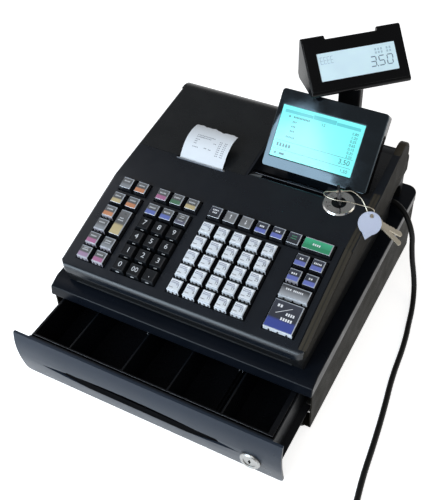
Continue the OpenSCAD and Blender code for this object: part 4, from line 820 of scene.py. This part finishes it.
# right block
RIGHT_KEYS = [(RIGHT_X + i * RIGHT_PITCH, row(r), "blue") for r in (4, 3) for i in (0, 1)]
key_group("keys_right", UNIT, RIGHT_KEYS, (FRONT_TINT, (2,)))
words("keys_right", [(x - 0.3, s + 1.4, a, 1.0) for (x, s, _), a in zip(RIGHT_KEYS, (2.4, 4.4, 3.4, 2.4))])
key_group("key_subtotal", WIDE, [(WIDE_X, row(2), "silver")], (FRONT_WHITE, (0,)))
words("key_subtotal", [(WIDE_X - 7.4, row(2) + 1.4, 3.4, 1.0), (WIDE_X + 3.2, row(2) + 1.4, 5.6, 1.0)])
key_group("key_total", TOTAL, [(WIDE_X, row(0.5), "total")], (FRONT_WHITE, (0,)))
words("key_total", [(WIDE_X - 7.6, row(0.5) + 9.6, 3.2, 1.6), (WIDE_X + 6.2, row(0.5) + 2.6, 5, 1.6),
                    (WIDE_X + 4.4, row(0.5) - 3.6, 6.6, 1.6)])
stroke = box((-9, -0.28, TOP_INK[0]), (9, 0.28, TOP_INK[1]))
stroke.data.transform(DECK @ Matrix.Translation((WIDE_X - 2.2, row(0.5) + 5.4, 0))
                      @ Matrix.Rotation(radians(32), 4, "Z"))
joined("key_total_stroke", [stroke], WHITE_INK, "key_total_body", slot="key_white")

# ---- receipt: it stands out of the slot and curls back over the cover, from angle A to angle B ----
PAPER_X0, PAPER_X1, STRIP_Y, SLOT_Y = -89.9, -33.2, 17.0, 17.4
CURL_R, CURL_A, CURL_B = 37.7, 62, -18
CURL_Y, CURL_Z = STRIP_Y + CURL_R * sin(radians(CURL_A)), deck_z(SLOT_Y) - CURL_R * cos(radians(CURL_A))
PAPER_LONG = CURL_R * radians(CURL_A - CURL_B)
PAPER_FOOT, PAPER_THICK = 7, 0.1
PRINT_PITCH, PRINT_WIDE, PRINT_HIGH, PRINT_LIFT = 0.035, 0.022, 1.1, 0.09


def on_curl(u, v, lift=0.0):
    """A spot on the strip: u across from 0 to 1, v along from the slot in mm; lift stands off its face."""
    x = PAPER_X0 + (PAPER_X1 - PAPER_X0) * u
    if v < 0:
        return Vector((x, STRIP_Y - lift, deck_z(SLOT_Y) + v))
    angle = radians(90 + CURL_A) - v / CURL_R
    cross = 0.7 * (1 - (2 * u - 1) ** 2) * min(1, v / 20) + 0.35 * sin(3.1 * u + v * 0.11) * min(1, v / 25)
    r = CURL_R - 0.9 * min(1, v / 10) + cross * 0.8 + lift
    return Vector((x, CURL_Y + r * cos(angle), CURL_Z + r * sin(angle)))


alone()
bpy.ops.mesh.primitive_grid_add(x_subdivisions=28, y_subdivisions=44, size=1)
sheet = bpy.context.object
for v in sheet.data.vertices:
    u, t = v.co.x + 0.5, v.co.y + 0.5
    torn = 2.0 * sin(5.2 * u + 0.8) + 1.1 * sin(17 * u) + 0.6 * sin(43 * u + 1) - 2.8
    along = -PAPER_FOOT + t * (PAPER_LONG + PAPER_FOOT + torn * t ** 6)
    v.co = at(*on_curl(u, along))
skin = sheet.modifiers.new("sheet", "SOLIDIFY")
skin.thickness, skin.offset = PAPER_THICK * MM, 0
bpy.ops.object.modifier_apply(modifier=skin.name)
joined("receipt_strip", [sheet], PAPER, "register", "receipt_paper", smooth=60)
# printed lines, each (start and end across the strip, place along it)
lines = [(0.2, 0.62, 33), (0.2, 0.36, 30.4), (0.3, 0.56, 30.4), (0.2, 0.3, 26.6), (0.2, 0.28, 23.8),
         (0.62, 0.7, 26.2), (0.2, 0.27, 21), (0.2, 0.33, 16.4), (0.46, 0.52, 17.6), (0.56, 0.64, 17.2)]
lines += [(u0, u1, 30.6 - 2.6 * i) for u0, u1 in ((0.74, 0.8), (0.85, 0.92)) for i in range(8)]
bars = []
for u0, u1, v in lines:
    for k in range(max(1, round((u1 - u0) / PRINT_PITCH))):
        left = u0 + k * PRINT_PITCH
        alone()
        bpy.ops.mesh.primitive_plane_add(size=1)
        bar = bpy.context.object
        for p in bar.data.vertices:
            p.co = at(*on_curl(left + (p.co.x + 0.5) * PRINT_WIDE, v + p.co.y * PRINT_HIGH, PRINT_LIFT))
        bars.append(bar)
joined("receipt_print", bars, PRINT, "register", slot="paper_white")
edge = box((PAPER_X0 - 3, SLOT_Y - 3.3, deck_z(SLOT_Y) - 1.0), (PAPER_X1 + 2.4, SLOT_Y - 2.3, deck_z(SLOT_Y) + 0.75))
edge.data.transform(LEVEL)
joined("tear_edge", [edge], SILVER_LINE, "register")

# ---- screens ----
SCREEN = lit("screen cyan", (0.19, 0.76, 0.73), 0.32)
SCREEN_BAND = lit("screen band", (0.1, 0.5, 0.52), 0.3)
SCREEN_INK = lit("screen ink", (0.02, 0.17, 0.2), 0.06)
PALE_SCREEN = lit("pale screen", (0.62, 0.8, 0.88), 0.25)
SEGMENT = lit("segments", (0.16, 0.24, 0.3), 0.0)
FAINT_SEGMENT = lit("faint segments", (0.42, 0.58, 0.66), 0.15)


def screen_pane(name, low, high, matrix, material, body, node, slot):
    """The pane of a display, with its upright edges rounded."""
    pane = box(low, high)
    soften(pane, 0.8, lambda e: abs(e.verts[0].co.z - e.verts[1].co.z) > 1, 3)
    pane.data.transform(matrix)
    joined(name, [pane], material, body, node, slot=slot)


SCREEN_X, SCREEN_W, SCREEN_H, PANEL_H = 6.2, 99, 59.6, 90.6
SCREEN_V = PANEL_H - 18 - SCREEN_H
TOP_V, RIGHT_U = SCREEN_V + SCREEN_H, SCREEN_X + SCREEN_W
screen_pane("screen_pane", (SCREEN_X + 0.1, SCREEN_V + 0.1, -7), (RIGHT_U - 0.1, TOP_V - 0.1, -0.6), PANEL, SCREEN,
            "operator_display", "display_lcd", "screen_cyan")
INK_LOW, INK_MID, INK_HIGH = -0.62, -0.58, -0.54


def screen_marks(name, spans, material):
    """Printed bars on the operator's screen, from its left edge and its foot."""
    marks(name, [(SCREEN_X + u0, SCREEN_X + u1, SCREEN_V + v0, SCREEN_V + v1) for u0, u1, v0, v1 in spans], PANEL,
          material, "operator_display", INK_LOW, INK_HIGH, slot="screen_cyan")


screen_marks("screen_band", [(u0, u1, SCREEN_H - 8, SCREEN_H - v1)
                             for u0, u1, v1 in ((4, 38, 4.6), (38.6, 66, 3.4), (66.6, 95, 4.6))], SCREEN_BAND)
screen_marks("screen_rules", [(2, 96, v, v + 0.4) for v in (19.2, 9)], SCREEN_INK)
items = [(10, 12, SCREEN_H - 12.6, SCREEN_H - 10.8)]
for u, drop, length in ((16, 12.6, 20), (16, 18, 7), (16, 23.4, 7), (16, 28.8, 7), (13, 35.8, 12)):
    v = SCREEN_H - drop
    items += [(u + k * 1.8, u + k * 1.8 + 1.1, v + 0.2, v + 2.2) for k in range(int(length / 1.8))]
items += [(5 + k * 3.6, 7.2 + k * 3.6, 12.6, 16.4) for k in range(5)]
items += [(5, 7, 3.4, 5.8), (11, 17, 3.4, 5.8)]
screen_marks("screen_items", items, SCREEN_INK)
prices = [(text, RIGHT_U - 5, TOP_V - 12.4 - i * 4.3, INK_MID, 4.2, "RIGHT")
          for i, text in enumerate(("0.80", "1.20", "0.35", "0.65", "0.15", "0.35", "3.50"))]
prices += [("12", SCREEN_X + 52, TOP_V - 11.6, INK_MID, 4.6, "CENTER"),
           ("3.50", RIGHT_U - 5, SCREEN_V + 14.4, INK_MID, 8, "RIGHT"),
           ("1.50", RIGHT_U - 5, SCREEN_V + 4.8, INK_MID, 5.4, "RIGHT")]
figures("screen_figures", prices, PANEL, SCREEN_INK, "operator_display", slot="screen_cyan")

WIN_W, WIN_H, CUST_W, CUST_LEN = 92, 31.5, 118, 60
WIN_U, WIN_V = -CUST_W / 2 + 14, CUST_LEN - 17 - WIN_H
PANE_TOP = 0.8
screen_pane("customer_pane", (WIN_U + 0.1, WIN_V + 0.1, -6.5), (WIN_U + WIN_W - 0.1, WIN_V + WIN_H - 0.1, PANE_TOP),
            FACE, PALE_SCREEN, "customer_display", "customer_lcd", "screen_pale")
# the bars of each figure, and the place of each bar: across, up, and 1 if it stands upright
SEGMENTS = {"0": "abcdef", "3": "abcdg", "5": "afgcd"}
SEG_AT = {"a": (0, 1, 0), "b": (1, 0.5, 1), "c": (1, -0.5, 1), "d": (0, -1, 0), "e": (-1, -0.5, 1),
          "f": (-1, 0.5, 1), "g": (0, 0, 0)}


def segment_bars(text, u, v, half_w, half_h, thick):
    """Bars of one seven-segment figure, slanted by being set a little apart."""
    spans = []
    for seg in SEGMENTS[text]:
        dx, dy, upright = SEG_AT[seg]
        cx, cy = u + dx * half_w + dy * 0.5, v + dy * half_h
        a, b = (thick, half_h / 2 - thick) if upright else (half_w - thick, thick)
        spans.append((cx - a, cx + a, cy - b, cy + b))
    return spans


def window_marks(name, spans, material, rise):
    """Bars on the customer's screen, from its left edge and its foot."""
    marks(name, [(WIN_U + u0, WIN_U + u1, WIN_V + v0, WIN_V + v1) for u0, u1, v0, v1 in spans], FACE, material,
          "customer_display", PANE_TOP - 0.02, PANE_TOP + rise, slot="screen_pale")


spans = [bar for text, u in (("3", 63.6), ("5", 73.6), ("0", 83.4))
         for bar in segment_bars(text, u, 12.6, 3.2, 5.4, 0.55)]
window_marks("customer_figures", spans + [(67.6, 68.9, 6.4, 7.7)], SEGMENT, 0.06)
spans = [(64 + k * 3.4, 66.2 + k * 3.4, v, v + 2.6) for k in range(7) for v in (24.4, 20.8)
         if (k * 3 + int(v)) % 4]
spans += [(3 + k * 4, 6 + k * 4, v, v + 0.6) for k in range(4) for v in (26.4, 22.6, 19)]
spans += [(3 + k * 4, 3.6 + k * 4, 19, 27) for k in range(4)]
window_marks("customer_faint", spans, FAINT_SEGMENT, 0.04)

# ---- small fittings: the right rail's strips, whose colour is a painted warm sheen of a lit side face, and its grooves, the line at the well's foot, the dial's marks ----
TOP_LONG = 137
for name, matrix, s0, s1 in (("rail_front", DECK, 6, FOLD), ("rail_rear", TOP, 0.2, TOP_LONG)):
    for ending, sides, material, rise in (("", ((140.4, 143.8), (144.6, 147.6)), RAIL_SHEEN, 0.12),
                                          ("_grooves", ((139.8, 140.4), (143.8, 144.6)), CLIP, 0.06)):
        marks(name + ending, [(x0, x1, s0, s1) for x0, x1 in sides], matrix, material, "register", -0.1, rise,
              slot="case_plastic")
LINE_Y = 26.6
marks("base_line", [(4.6, 117, 0.1, 0.6)], turned(at(0, LINE_Y, deck_z(LINE_Y) + 0.35), ("X", TOP_TILT)), SILVER_LINE,
      "register", 0.0, 0.25)
DIAL_INK = (1.58, 1.66)
ticks = []
for angle in range(96, 227, 26):
    for x0, x1, half in ((9.6, 12.4, 0.28), (13.2, 13.9, 1.1)):
        tick = box((x0, -half, DIAL_INK[0]), (x1, half, DIAL_INK[1]))
        tick.data.transform(DIAL @ Matrix.Rotation(radians(angle), 4, "Z"))
        ticks.append(tick)
joined("dial_marks", ticks, ENGRAVED, "register", slot="inner_plastic")

# ---- floor, world and lamps ----
FLOOR_GLOW, ROOM_LIGHT = 0.72, 0.26
alone()
bpy.ops.mesh.primitive_plane_add(size=6, location=(0, 0, -0.0002))
floor = bpy.context.object
floor.name = "floor"


def seen_white(nodes, links):
    """1 for what the camera, a mirror or glass sees, 0 for light that falls on the object."""
    path = nodes.new("ShaderNodeLightPath")
    first, second = nodes.new("ShaderNodeMath"), nodes.new("ShaderNodeMath")
    first.operation = second.operation = "MAXIMUM"
    links.new(path.outputs["Is Camera Ray"], first.inputs[0])
    links.new(path.outputs["Is Glossy Ray"], first.inputs[1])
    links.new(first.outputs[0], second.inputs[0])
    links.new(path.outputs["Is Transmission Ray"], second.inputs[1])
    return second.outputs[0]


white, nodes, links, bsdf = shader("floor", (0.9, 0.9, 0.9), 0.9, specular=0.0)
glow, both = nodes.new("ShaderNodeEmission"), nodes.new("ShaderNodeAddShader")
scale = nodes.new("ShaderNodeMath")
scale.operation = "MULTIPLY"
scale.inputs[1].default_value = FLOOR_GLOW
links.new(seen_white(nodes, links), scale.inputs[0])
links.new(scale.outputs[0], glow.inputs["Strength"])
links.new(bsdf.outputs["BSDF"], both.inputs[0])
links.new(glow.outputs["Emission"], both.inputs[1])
links.new(both.outputs["Shader"], nodes["Material Output"].inputs["Surface"])
floor.data.materials.append(white)

world = bpy.data.worlds.new("studio")
bpy.context.scene.world = world
world.use_nodes = True
wn, wl = world.node_tree.nodes, world.node_tree.links
back = wn["Background"]
back.inputs["Color"].default_value = (1, 1, 1, 1)
back.inputs["Strength"].default_value = ROOM_LIGHT
bright, choose = wn.new("ShaderNodeBackground"), wn.new("ShaderNodeMixShader")
bright.inputs["Color"].default_value = (1, 1, 1, 1)
# above the white backdrop, the room is dimmer where it is mirrored
where, up, dim = wn.new("ShaderNodeTexCoord"), wn.new("ShaderNodeSeparateXYZ"), wn.new("ShaderNodeMapRange")
path, level = wn.new("ShaderNodeLightPath"), wn.new("ShaderNodeMath")
for socket, value in (("From Min", 0.08), ("From Max", 0.42), ("To Min", 1.0), ("To Max", 0.2)):
    dim.inputs[socket].default_value = value
level.operation = "MAXIMUM"
wl.new(where.outputs["Generated"], up.inputs["Vector"])
wl.new(up.outputs["Z"], dim.inputs["Value"])
wl.new(path.outputs["Is Camera Ray"], level.inputs[0])
wl.new(dim.outputs["Result"], level.inputs[1])
wl.new(level.outputs[0], bright.inputs["Strength"])
wl.new(seen_white(wn, wl), choose.inputs["Fac"])
wl.new(back.outputs["Background"], choose.inputs[1])
wl.new(bright.outputs["Background"], choose.inputs[2])
wl.new(choose.outputs["Shader"], wn["World Output"].inputs["Surface"])


def lamp(name, place, size, power, colour=(1, 1, 1)):
    """A square lamp that faces the object; its place is in mm, its size in metres."""
    data = bpy.data.lights.new(name, "AREA")
    data.shape, data.size, data.energy, data.color = "SQUARE", size, power, colour
    obj = linked(bpy.data.objects.new(name, data))
    obj.location = at(*place)
    obj.rotation_euler = (at(0, 0, 120) - obj.location).to_track_quat("-Z", "Y").to_euler()


# the window: a tall pane of light ahead and to the left, whose reflection lies on the operator display
WINDOW_W, WINDOW_H, WINDOW_POWER = 0.9, 1.1, 21
edge_a, edge_b = Vector((0.540, -0.686, -0.490)), Vector((-0.789, -0.210, -0.577))
corner = at(-373, -857, 1163)
data = bpy.data.lights.new("window", "AREA")
data.shape, data.size, data.size_y = "RECTANGLE", WINDOW_W, WINDOW_H
data.energy, data.color = WINDOW_POWER, (0.74, 0.88, 1.0)
window = linked(bpy.data.objects.new("window", data))
side_x, side_y = edge_a.normalized(), -edge_b.normalized()
turn = Matrix((side_x, side_y, side_x.cross(side_y))).transposed()
window.location = corner + edge_a * WINDOW_W / 2 + edge_b * WINDOW_H / 2
window.rotation_euler = turn.to_euler()
lamp("ceiling", (-1700, 350, 1700), 0.9, 5, (1, 0.98, 1))
lamp("front", (450, -1150, 1500), 1.0, 6)
lamp("right", (1300, 300, 700), 0.9, 2, (1, 0.85, 0.62))

bpy.context.scene.view_settings.view_transform = "Standard"
